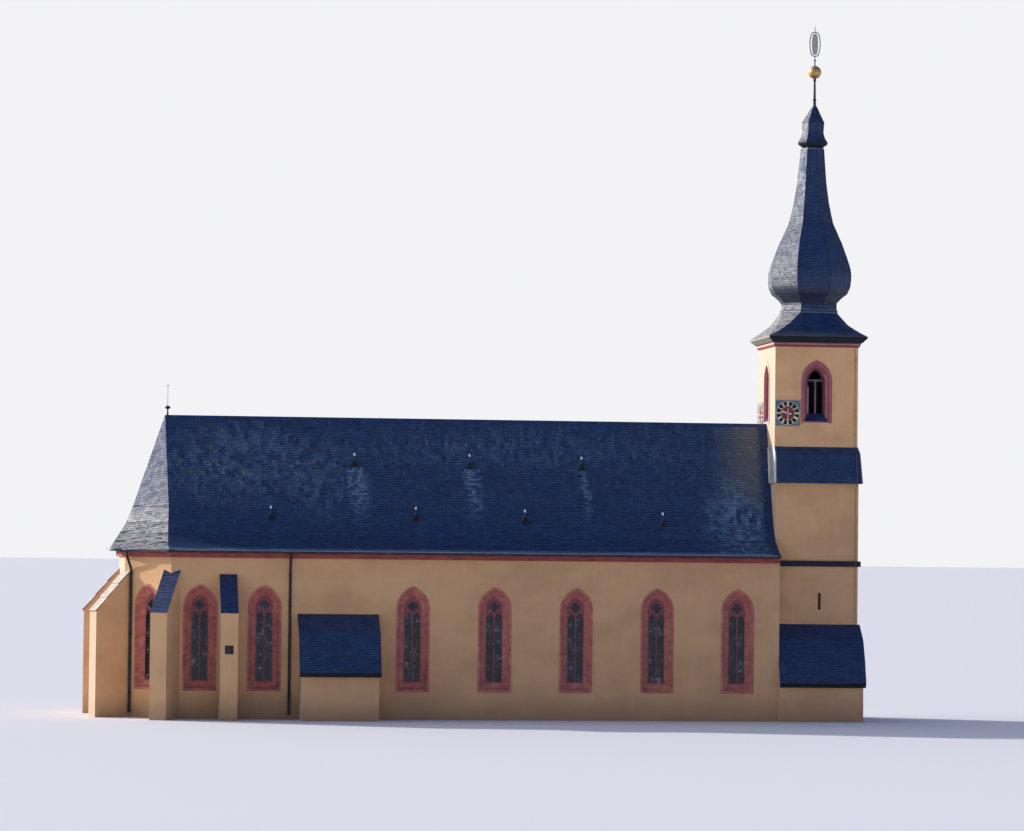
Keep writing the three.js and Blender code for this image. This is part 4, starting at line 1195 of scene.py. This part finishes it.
# %% Rod, ball, ring and plate
finial_axis = on_axis("spire_finial")
ball_z, ball_radius = 21.31, 0.215
seam_radius = ball_radius + 0.006
knob_z, ring_z = 21.7, 22.24
ring_sizes, ring_thickness = (0.172, 0.395, 0.55), 0.016
plate_sizes, plate_thickness = (0.105, 0.35, 0.5), 0.014
iron_profile = [
    (0, 20.2), (0.05, 20.2), (0.046, 20.35), (0.058, 20.37), (0.058, 20.41), (0.042, 20.43),
    (0.032, 21.0), (0.05, 21.03), (0.05, 21.07), (0.03, 21.09), (0.03, 21.14), (0, 21.14),
]
seam = [(ball_radius, -0.008), (seam_radius, -0.006), (seam_radius, 0.006), (ball_radius, 0.008)]
bend = np.linspace(-math.pi / 2, math.pi / 2, 23)[:11]
lower_half = [(ball_radius * math.cos(turn), ball_radius * math.sin(turn)) for turn in bend]
upper_half = [(radius, -height) for radius, height in lower_half[::-1]]
ball_profile = [(radius, ball_z + height) for radius, height in lower_half + seam + upper_half]
knob_profile = [
    (0, ball_z + 0.2), (0.024, ball_z + 0.2), (0.018, knob_z - 0.05), (0.03, knob_z - 0.02),
    (0.03, knob_z + 0.02), (0.016, knob_z + 0.05), (0.014, 21.83), (0, 21.83),
]
spike_profile = [(0, 22.62), (0.012, 22.62), (0.01, 22.8), (0.004, 22.86), (0, 22.86)]


def long_oval(half_width, half_height, fullness, steps=40):
    """Points of an upright oval whose long sides are almost straight."""
    turns = np.linspace(0, 2 * math.pi, steps, endpoint=False)
    across = np.copysign(np.abs(np.sin(turns)) ** fullness, np.sin(turns))
    return [(half_width * x, 0, half_height * math.cos(turn)) for x, turn in zip(across, turns)]


ring_curve = long_oval(*ring_sizes)
ring_mesh = tube(ring_curve + ring_curve[:1], ring_thickness)
plate_bm = bmesh.new()
bmesh.ops.contextual_create(plate_bm, geom=[plate_bm.verts.new(spot) for spot in long_oval(*plate_sizes)])
bmesh.ops.solidify(plate_bm, geom=plate_bm.faces[:], thickness=plate_thickness)
plate_mesh = finished_mesh(plate_bm, "plate")
ring_place = finial_axis @ Matrix.Translation((0, 0, ring_z))
turned_irons = [(lathe(profile, 16), finial_axis) for profile in (iron_profile, knob_profile, spike_profile)]
for name, copies, finish, slot in (
    ("finial_iron", turned_irons, wrought_iron, "wrought_iron"),
    ("finial_ball", [(lathe(ball_profile, 32), finial_axis)], gilding, "gilded_metal"),
    ("finial_ring", [(ring_mesh, ring_place)], wrought_iron, "wrought_iron"),
    ("finial_plate", [(plate_mesh, ring_place)], silvering, "wrought_iron"),
):
    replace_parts(copies_piece(name, copies, finish), "spire_finial")

# %% Finial on the ridge
ridge_profile = [
    (0, 9.62), (0.034, 9.62), (0.022, 9.84), (0.04, 9.85), (0.085, 9.885), (0.093, 9.905), (0.08, 9.93),
    (0.03, 9.955), (0.008, 9.965), (0.005, 10.56), (0.014, 10.58), (0.014, 10.62), (0.004, 10.65), (0, 10.65),
]
ridge_copies = [(lathe(ridge_profile, 20), on_axis("ridge_finial"))]
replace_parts(copies_piece("ridge_iron", ridge_copies, wrought_iron), "ridge_finial")

# %% [markdown]
# ## Clocks
#
# Each dial is a square of faded blue paint. A red disc fills the middle, a black ring carries the
# twelve numerals in gold, and thin gilded rings edge it. The numerals are flat strokes of gilded copper,
# so each is built from straight bars and squeezed to the width that the ring leaves for it.

# %% Dial rings
dial_back, dial_front = 0.02, 0.0253
disc_radius, disc_front = 0.222, 0.0264
ring_outer, ring_front = 0.382, 0.0268
inner_gold_front, outer_gold_front = 0.0272, 0.030
north_dial, east_dial = middle_of("clock_north_dial"), middle_of("clock_east_dial")
clock_places = (
    on_wall(north_dial.x, tower_low.y, north_dial.z),
    on_wall(tower_low.x, east_dial.y, east_dial.z, -math.pi / 2),
)
upright = Matrix.Rotation(math.pi / 2, 4, "X")


def ring_section(inner, outer, front):
    return [(inner, dial_back), (outer, dial_back), (outer, front), (inner, front)]


def flat_ring(inner, outer, front, sides=72):
    section = ring_section(inner, outer, front)
    return lathe(section + section[:1], sides)


disc = lathe(ring_section(0, disc_radius, disc_front), 64)
dark_ring = flat_ring(disc_radius + 0.004, ring_outer, ring_front)
gold_rings = [
    flat_ring(disc_radius - 0.001, disc_radius + 0.007, inner_gold_front),
    flat_ring(ring_outer - 0.004, ring_outer + 0.006, outer_gold_front),
]
for name, meshes, finish in (
    ("dial_discs", [disc], dial_red),
    ("dial_rings", [dark_ring], dial_black),
    ("dial_edges", gold_rings, dial_gold),
):
    copies = [(mesh, place @ upright) for mesh in meshes for place in clock_places]
    copies_piece(name, copies, finish)

# %% Numerals and dial frame
stroke_widths = {"I": 0.5, "V": 0.9, "X": 0.9}
strokes = {
    "I": [((0.25, 0), (0.25, 1))],
    "V": [((0.05, 1), (0.45, 0)), ((0.45, 0), (0.85, 1))],
    "X": [((0.05, 0), (0.85, 1)), ((0.05, 1), (0.85, 0))],
}
numerals = ("XII", "I", "II", "III", "IIII", "V", "VI", "VII", "VIII", "IX", "X", "XI")
numeral_low, numeral_high = 0.24, 0.368
numeral_width = 0.064
widest_letter = 0.045
stroke_thickness, rule_thickness = 0.015, 0.008
stroke_depth = 0.004
frame_reach = 0.402
frame_width, frame_depth = 0.016, 0.006
frame_corners = ((-1, -1), (1, -1), (1, 1), (-1, 1))


def on_dial(place, across, up):
    return np.array(place @ Vector((across, -dial_front, up)))


def in_ring(place, hour, across, share):
    """A point of a numeral, from its place across the numeral and its share of the ring's width."""
    turn = hour * math.pi / 6
    out = numeral_low + share * (numeral_high - numeral_low)
    return on_dial(
        place, across * math.cos(turn) + out * math.sin(turn), out * math.cos(turn) - across * math.sin(turn)
    )


def numeral_bars(place, hour, numeral):
    """The two rules and the strokes of one numeral, as bars."""
    toward = np.array(place.to_3x3() @ Vector((0, -1, 0)))
    total = sum(stroke_widths[letter] for letter in numeral)
    squeeze = min(widest_letter, numeral_width / total)
    start = -total * squeeze / 2
    rules = [((start, level), (-start, level)) for level in (0, 1)]
    lines = []
    for letter in numeral:
        for (x0, y0), (x1, y1) in strokes[letter]:
            lines.append(((start + x0 * squeeze, y0), (start + x1 * squeeze, y1)))
        start += stroke_widths[letter] * squeeze
    bars = []
    for pairs, thickness in ((rules, rule_thickness), (lines, stroke_thickness)):
        for pair in pairs:
            spots = [in_ring(place, hour, *point) for point in pair]
            bars.append(bar(*spots, thickness, stroke_depth, toward))
    return bars


dial_bars, frame_bars = [], []
for place in clock_places:
    toward = np.array(place.to_3x3() @ Vector((0, -1, 0)))
    for hour, numeral in enumerate(numerals):
        dial_bars += numeral_bars(place, hour, numeral)
    for start, end in zip(frame_corners, frame_corners[1:] + frame_corners[:1]):
        spots = [on_dial(place, *np.multiply(corner, frame_reach)) for corner in (start, end)]
        frame_bars.append(bar(*spots, frame_width, frame_depth, toward))
bar_piece("dial_numerals", dial_bars, dial_gold)
bar_piece("dial_frames", frame_bars, dial_blue)

# %% [markdown]
# ## Windows
#
# Every window of nave and choir has a moulded surround of red sandstone, cut in two steps that narrow
# towards the glass, with two small lights and a four-lobed eye above them. A moulding is a section swept
# round the opening: each point of the section becomes a line between the outer and the inner outline,
# and a sheet of quads is drawn through the lines. The tracery is a flat curve with three holes.


# %% Pointed outlines and mouldings
def pointed(width, sill, spring, apex, steps=10):
    """Outline of a pointed opening, from its lower right corner over the arch to its lower left one."""
    half, rise = width / 2, apex - spring
    radius = (half ** 2 + rise ** 2) / (2 * half)
    turns = np.linspace(0, math.atan2(rise, radius - half), steps)
    arc = np.stack([half - radius + radius * np.cos(turns), spring + radius * np.sin(turns)], axis=1)
    return np.concatenate([[[half, sill]], arc, arc[-2::-1] * [-1, 1], [[-half, sill]]])


def moulding(outer, inner, profile, closed=True):
    """Sweeps a closed section, given as share of the way inwards and depth, round an opening."""
    rows = []
    for share, depth in profile + profile[:1]:
        line = outer * (1 - share) + inner * share
        if closed:
            line = np.concatenate([line, line[:1]])
        rows.append(np.insert(line, 1, depth, axis=1))
    bm = quad_sheet(rows)
    if not closed:
        bmesh.ops.holes_fill(bm, edges=[edge for edge in bm.edges if edge.is_boundary], sides=0)
    return finished_mesh(bm, "moulding", math.radians(50))


def plate_with_holes(outlines, thickness):
    """A flat plate from closed outlines, the first its edge and the others its holes."""
    curve = bpy.data.curves.new("plate", "CURVE")
    curve.dimensions = "2D"
    curve.fill_mode = "BOTH"
    curve.extrude = thickness / 2
    for outline in outlines:
        spline = curve.splines.new("POLY")
        spline.points.add(len(outline) - 1)
        for point, (x, z) in zip(spline.points, outline):
            point.co = (x, z, 0, 1)
        spline.use_cyclic_u = True
    shape = bpy.data.objects.new("plate", curve)
    mesh = bpy.data.meshes.new_from_object(shape)
    bpy.data.objects.remove(shape)
    mesh.transform(Matrix.Rotation(math.pi / 2, 4, "X"))
    mesh.materials.clear()
    return mesh


# %% Places of the windows
nave_face = 2.38
choir_windows = [-9.075, -7.035]
nave_east, nave_bay = -6.25, 2.625
south_bays = 6
apse_corners = ((-10.0, -2.38), (-11.415, -0.985), (-11.55, 0.985), (-10.0, 2.38))
nave_windows = [nave_east + (bay + 0.5) * nave_bay for bay in range(south_bays)]
window_groups = {
    "choir_north": [on_wall(x, -nave_face, 0) for x in choir_windows],
    "nave_north": [on_wall(x, -nave_face, 0) for x in nave_windows[1:]],
    "choir_south": [on_wall(x, nave_face, 0, math.pi) for x in choir_windows],
    "nave_south": [on_wall(x, nave_face, 0, math.pi) for x in nave_windows],
}
for name, (x0, y0), (x1, y1) in zip(
    ("apse_north_east", "apse_east", "apse_south_east"), apse_corners[:-1], apse_corners[1:]
):
    window_groups[name] = [on_wall((x0 + x1) / 2, (y0 + y1) / 2, 0, math.atan2(y0 - y1, x0 - x1))]
print("windows:", sum(len(places) for places in window_groups.values()))

# %% Surrounds and tracery
arch_spring = 3.525
opening_width, opening_sill, opening_apex = 0.525, 1.2, 3.925
light_width, light_sill, light_spring, light_apex = 0.215, 1.22, 3.2, 3.42
light_shift = 0.13
eye_height = 3.605
tracery_thickness, tracery_depth = 0.03, 0.205
surround_section = (
    (-0.04, -0.012), (0.22, -0.012), (0.25, 0.02), (0.47, 0.08), (0.5, 0.098), (0.56, 0.098), (0.62, 0.115),
    (0.8, 0.15), (0.84, 0.168), (1.02, 0.2), (1.02, 0.25), (0.9, 0.25), (-0.04, 0.03),
)
surround_outer = pointed(1.05, 0.9, arch_spring, 4.235)
surround_inner = pointed(opening_width, opening_sill, arch_spring, opening_apex)
surround = moulding(surround_outer, surround_inner, surround_section)


def lobed_eye(height, radius=0.075, reach=0.085, steps=40):
    """Outline of an eye with four round lobes, over the middle of a window."""
    turns = np.linspace(0, 2 * math.pi, steps, endpoint=False)
    off = (turns + math.pi / 4) % (math.pi / 2) - math.pi / 4
    reaches = reach * np.cos(off) + np.sqrt(radius ** 2 - (reach * np.sin(off)) ** 2)
    return np.stack([reaches * np.cos(turns), height + reaches * np.sin(turns)], axis=1)


def behind_opening(margin):
    """Outline of a plate that closes the opening, wider than it by a margin."""
    return pointed(opening_width + margin, opening_sill - 0.01, arch_spring, opening_apex + 0.005)


lancet = pointed(light_width, light_sill, light_spring, light_apex)
lancets = [lancet + [side * light_shift, 0] for side in (-1, 1)]
tracery = plate_with_holes([behind_opening(0.01), *lancets, lobed_eye(eye_height)], tracery_thickness)
for name, places in window_groups.items():
    inwards = Matrix.Translation((0, tracery_depth, 0))
    stones = [(surround, place) for place in places]
    traceries = [(tracery, place @ inwards) for place in places]
    copies_piece(f"stone_{name}", stones, window_stone)
    copies_piece(f"tracery_{name}", traceries, tracery_stone)

# %% [markdown]
# ## Leaded glass
#
# The glass is set in small oblong panes held by lead cames. Old panes never lie quite in one plane, so
# each is tilted a little and has its own tone; most look dark from outside. A thin sheet of lead behind
# them shows in the joints, and iron saddle bars cross the lights to carry the weight.

# %% Panes
pane_width, pane_height = 0.066, 0.09
came = 0.008
pane_depth, pane_thickness = 0.232, 0.004
pane_tilt = 0.0009
clump_fineness = 3.3
glass_half = opening_width / 2
glass_top = opening_apex + 0.005
pane_corners = np.array([[-1, -1], [1, -1], [1, 1], [-1, 1]]) * [pane_width - came, pane_height - came] / 2


def glass_pane(place, x, z):
    """Eight corners and the tone of one pane. Tones differ at random, and paler panes lie in clumps, more of
    them low down, as painted reflection of the sky.
    """
    back = np.full(4, pane_depth + pane_thickness)
    front = pane_depth + chance.normal(0, pane_tilt, 4)
    flat = [(x + a, y, z + b) for depths in (back, front) for (a, b), y in zip(pane_corners, depths)]
    spot = Vector((place.translation.x + x, place.translation.y, z))
    clump = soft_step(0.5 + 0.5 * noise.noise(spot * clump_fineness), 0.3, 0.75)
    tone = 0.55 * chance.uniform(0, 1) + 0.45 * clump * soft_step(z, 4.2, 3.2)
    return [place @ Vector(corner) for corner in flat], tone


# %% Panes, lead and saddle bars in every window
saddle_step, saddle_top = 0.35, 3.8
saddle_half = 0.262
saddle_width, saddle_depth = 0.012, 0.008
lead_thickness = 0.002
lead_sheet = plate_with_holes([behind_opening(0.005)], lead_thickness)
behind = Matrix.Translation((0, pane_depth + 0.005, 0))
for name, places in window_groups.items():
    panes, irons = [], []
    for place in places:
        for x in np.arange(-glass_half + pane_width / 2, glass_half, pane_width):
            for z in np.arange(opening_sill + pane_height / 2, glass_top, pane_height):
                panes.append(glass_pane(place, x, z))
        toward = place.to_3x3() @ Vector((0, -1, 0))
        for z in np.arange(opening_sill + saddle_step, saddle_top, saddle_step):
            ends = [place @ Vector((side * saddle_half, pane_depth - 0.006, z)) for side in (-1, 1)]
            irons.append(bar(*ends, saddle_width, saddle_depth, toward))
    corners = np.array([pane for pane, tone in panes])
    tones = {"tone": [tone for pane, tone in panes]}
    glass = wedge_piece(f"panes_{name}", corners, tones, leaded_glass)
    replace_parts(glass, f"{name}_glass")
    sheets = [(lead_sheet, place @ behind) for place in places]
    copies_piece(f"lead_{name}", sheets, lead_came)
    bar_piece(f"saddle_bars_{name}", irons, wrought_iron)

# %% [markdown]
# ## Bell windows
#
# The bell windows are deeper and open, with the stone plate of the solid between their lights. Round
# rolls of stone frame them on the wall and just before the plate. They end on the sloping sill, which is
# slated like the roofs. A mauve mullion and a transom, as two flat bars, stand before the plate.

# %% Rolls on the bell windows
bell_rim = pointed(0.82, 9.725, 11.045, 11.6)
bell_inner = pointed(0.5, 9.985, 11.0, 11.415)
roll_sections = {
    "wall": (
        (-0.42, -0.004), (-0.38, -0.018), (-0.24, -0.024), (-0.12, -0.018), (-0.08, -0.004), (-0.2, 0.01),
    ),
    "step": ((0.3, 0.04), (0.34, 0.036), (0.42, 0.046), (0.46, 0.07), (0.46, 0.11), (0.3, 0.08)),
    "plate": ((0.72, 0.155), (0.76, 0.15), (0.84, 0.16), (0.9, 0.19), (0.92, 0.222), (0.78, 0.2)),
}
bell_places = {
    "north": on_wall(tower_middle.x, tower_low.y, 0),
    "east": on_wall(tower_low.x, 0, 0, -math.pi / 2),
    "south": on_wall(tower_middle.x, tower_high.y, 0, math.pi),
    "west": on_wall(tower_high.x, 0, 0, math.pi / 2),
}
for name, words, finish in (
    ("bell_outer_rolls", ("wall", "step"), rim_stone), ("bell_inner_rolls", ("plate",), shaded_splay_stone),
):
    rolls = [moulding(bell_rim, bell_inner, roll_sections[word], closed=False) for word in words]
    copies = [(roll, place) for roll in rolls for place in bell_places.values()]
    copies_piece(name, copies, finish)

# %% Mullions and transoms
mullion_depth = 0.222
mullion_low, mullion_high = 10.0, 11.05
transom_height, transom_half = 11.07, 0.22
mullion_width, mullion_proud = 0.05, 0.014
for word, place in bell_places.items():
    outward = np.array(place.to_3x3() @ Vector((0, -1, 0)))
    mullion = [place @ Vector((0, mullion_depth, z)) for z in (mullion_low, mullion_high)]
    transom = [place @ Vector((x, mullion_depth, transom_height)) for x in (-transom_half, transom_half)]
    bars = [bar(*ends, mullion_width, mullion_proud, outward) for ends in (mullion, transom)]
    bar_piece(f"bell_mullion_{word}", bars, mauve_stone)

# %% [markdown]
# ## Rainwater, lightning and lead
#
# Pipes hang in collars and gutters in straps, at even steps. A pale drip edge runs along the eaves, and
# small zinc saddles cover its corners round the choir. A lightning rod runs down the tower's north face,
# over the skirt and the band. Sheet lead covers the edges of the skirt's north slope and lies in wide
# aprons on its east slope. Stone slabs shed the rain from the two eastern buttresses.

# %% Pipe collars
collar_thickness, collar_half = 0.008, 0.02
collar_heights = np.arange(0.75, 4.6, 0.95)
collars = []
for name in ("nave_north", "nave_south", "apse_north", "apse_south"):
    bm = merged_copy(f"downpipe_{name}")
    low_part = np.array([v.co for v in bm.verts if v.co.z < 3])
    bm.free()
    middle = (low_part.max(axis=0) + low_part.min(axis=0)) / 2
    thick = (low_part.max(axis=0) - low_part.min(axis=0))[0] / 2
    inside, outside = thick - 0.002, thick + collar_thickness
    band = lathe([
        (inside, -collar_half), (outside, -collar_half), (outside, collar_half), (inside, collar_half),
    ], 16)
    collars += [(band, Matrix.Translation((middle[0], middle[1], z))) for z in collar_heights]
copies_piece("pipe_collars", collars, rain_metal)

# %% Gutter straps and drip edge
gutter_inside, gutter_outside = 2.47, 2.69
strap_low, strap_high = 5.258, 5.334
strap_width, strap_thickness = 0.02, 0.006
strap_places = np.arange(-9.8, 9.4, 0.4)
drip_ends = (-9.9, 9.45)
drip_height = 5.328
drip_width, drip_thickness = 0.022, 0.01
straps, drips = [], []
for side in (-1, 1):
    for x in strap_places:
        bottom = [(x, side * y, strap_low + 0.004) for y in (gutter_inside, gutter_outside - 0.004)]
        front = [(x, side * gutter_outside, z) for z in (strap_low, strap_high)]
        straps.append(bar(*bottom, strap_width, strap_thickness, (0, 0, -1)))
        straps.append(bar(*front, strap_width, strap_thickness, (0, side, 0)))
    edge = [(x, side * (gutter_outside + 0.002), drip_height) for x in drip_ends]
    drips.append(bar(*edge, drip_width, drip_thickness, (0, side, 0)))
bar_piece("gutter_straps", straps, rain_metal)
bar_piece("eaves_drips", drips, pale_lead)

# %% Zinc on the corners of the eaves
saddle_back, saddle_front = 0.2, 0.045
saddle_breadth, saddle_height = 0.12, 0.035
choir_middle = -9.0
eaves = set()
for corners, normal in facing_east:
    eaves |= {tuple(np.round(corner, 2)) for corner in corners if corner[2] < 5.4}
saddles = []
for corner in sorted(spot for spot in eaves if abs(spot[1]) < 2):
    away = np.array([corner[0] - choir_middle, corner[1], 0])
    away = away / np.linalg.norm(away)
    corner = corner + np.array([0, 0, 0.012])
    ends = (corner - away * saddle_back, corner + away * saddle_front)
    saddles.append(bar(*ends, saddle_breadth, saddle_height, (0, 0, 1)))
print("corners of the eaves:", len(saddles))
bar_piece("eaves_corners", saddles, white_zinc)

# %% Lightning rod
rod_x = 12.2
rod_radius = 0.007
rod_route = (
    (-1.39, 12.12), (-1.39, 8.95), (-1.66, 8.70), (-1.885, 7.72), (-1.86, 7.66), (-1.6, 7.6), (-1.59, 5.22),
    (-1.675, 5.19), (-1.675, 4.98), (-1.59, 4.95), (-1.59, 3.2),
)
holder_half, holder_thickness, holder_depth = 0.02, 0.014, 0.022
holder_step = 0.81
rod_mesh = tube([(rod_x, y, z) for y, z in rod_route], rod_radius)
place_piece("lightning_rod", rod_mesh, rod_copper)
holders = []
for wall_y, lowest, highest in ((-1.375, 9.3, 12.0), (-1.575, 3.6, 7.5)):
    for z in np.arange(lowest, highest, holder_step):
        ends = [(rod_x + side * holder_half, wall_y, z) for side in (-1, 1)]
        holders.append(bar(*ends, holder_thickness, holder_depth, (0, -1, 0)))
bar_piece("rod_holders", holders, rod_copper)

# %% Lead on the skirt
flashing_inset = 0.012
flashing_width, flashing_thickness = 0.03, 0.016
apron_width, apron_thickness = 0.95, 0.02
skirt_planes = plane_faces("tower_skirt_roof", looks_outwards)
flashings, aprons = [], []
for corners, normal in skirt_planes:
    for side in (1, -1):
        if normal[1] < -0.3:
            ends = sorted(corners.tolist(), key=lambda spot: side * spot[0])[:2]
            ends = [np.array(end) + [side * flashing_inset, 0, 0] for end in ends]
            flashings.append(bar(*ends, flashing_width, flashing_thickness, normal))
        if normal[0] < -0.3:
            ends = sorted(corners.tolist(), key=lambda spot: side * spot[1])[:2]
            low, high = sorted(ends, key=lambda spot: spot[2])
            inwards = np.array([0, side * apron_width, 0])
            quad = np.array([low, low + inwards, high + inwards, high])[::side]
            aprons.append(np.concatenate([quad, quad + normal * apron_thickness]))
bar_piece("skirt_flashing", flashings, pale_lead)
bar_piece("skirt_aprons", aprons, apron_lead)

# %% Stone slabs on the eastern buttresses
slab_length, slab_width, slab_overhang, slab_thickness = 0.6, 1.2, 0.02, 0.035
for word in ("north_east", "south_east"):
    slopes = plane_faces(f"buttress_{word}", is_coping, 0.2)
    slabs = [
        lay_on_plane(*plane, slab_length, slab_width, overhang=slab_overhang, thickness=slab_thickness)
        for plane in slopes
    ]
    bar_piece(f"slabs_{word}", np.concatenate(slabs), slab_stone)

# %% [markdown]
# ## West door and niche
#
# Nothing is known of the west side, so the door is the plain one that such a tower would have: upright
# oak boards of uneven width in a pointed opening, two long iron straps and a ring to pull. The buttress
# between the choir's north windows has a small square niche, which a plain metal plate lines.

# %% Door boards and straps
door_low, door_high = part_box("west_door")
door_outline = pointed(door_high.y - door_low.y, door_low.z, 1.2, door_high.z)
door_arch = door_outline[1:11][::-1]
board_count = 7
board_gap, board_margin, board_thickness = 0.003, 0.01, 0.012
strap_heights, strap_reach = (0.45, 1.25), (-0.4, 0.3)
door_strap_width, door_strap_thickness = 0.04, 0.006
edges = np.linspace(door_low.y, door_high.y, board_count + 1)
edges[1:-1] += chance.uniform(-0.012, 0.012, board_count - 1)
boards = []
for left, right in zip(edges[:-1] + board_gap, edges[1:] - board_gap):
    tops = [np.interp(abs(y), door_arch[:, 0], door_arch[:, 1]) - board_margin for y in (left, right)]
    foot_z = door_low.z + board_margin
    flat = np.array([(left, foot_z), (right, foot_z), (right, tops[1]), (left, tops[0])])
    back = np.insert(flat, 0, door_high.x, axis=1)
    boards.append(np.concatenate([back, back + [board_thickness, 0, 0]]))
bar_piece("door_boards", boards, oak)
face = door_high.x + board_thickness
door_straps = []
for z in strap_heights:
    strap_ends = [(face, y, z) for y in strap_reach]
    door_straps.append(bar(*strap_ends, door_strap_width, door_strap_thickness, (1, 0, 0)))
bar_piece("door_straps", door_straps, wrought_iron)

# %% Ring to pull the door
pull_middle, pull_radius, pull_thickness = Vector((face + 0.02, 0.3, 0.85)), 0.04, 0.006
pull_turns = np.linspace(0, 6.2, 17)
pull_curve = [pull_middle + pull_radius * Vector((0, math.sin(turn), math.cos(turn))) for turn in pull_turns]
place_piece("door_ring", tube(pull_curve, pull_thickness), wrought_iron)

# %% Plate in the buttress niche
niche_low, niche_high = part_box("buttress_choir_north")
niche_x = (niche_low.x + niche_high.x) / 2
niche_depth, plate_depth = 0.078, 0.02
niche_back = niche_low.y + niche_depth
plate_bottom, plate_top = 2.085, 2.345
plate_ends = [(niche_x, niche_back, z) for z in (plate_bottom, plate_top)]
plate_bars = [bar(*plate_ends, plate_top - plate_bottom, plate_depth, (0, -1, 0))]
bar_piece("niche_plate", plate_bars, rain_metal)

# %% [markdown]
# ## Ground
#
# The church stands on a plain pale floor, one wide square that is no part of it. It catches the shadow
# and throws a little light back on the walls.

# %% Ground
ground_half = 900
ground_mesh = bpy.data.meshes.new("ground")
ground_bmesh = bmesh.new()
bmesh.ops.create_grid(ground_bmesh, x_segments=1, y_segments=1, size=ground_half)
ground_bmesh.to_mesh(ground_mesh)
ground_bmesh.free()
ground = bpy.data.objects.new("ground", ground_mesh)
ground_finish = Finish("pale floor", "e6e6e8", 0.95)
ground_mesh.materials.append(ground_finish.material)
bpy.context.scene.collection.objects.link(ground)
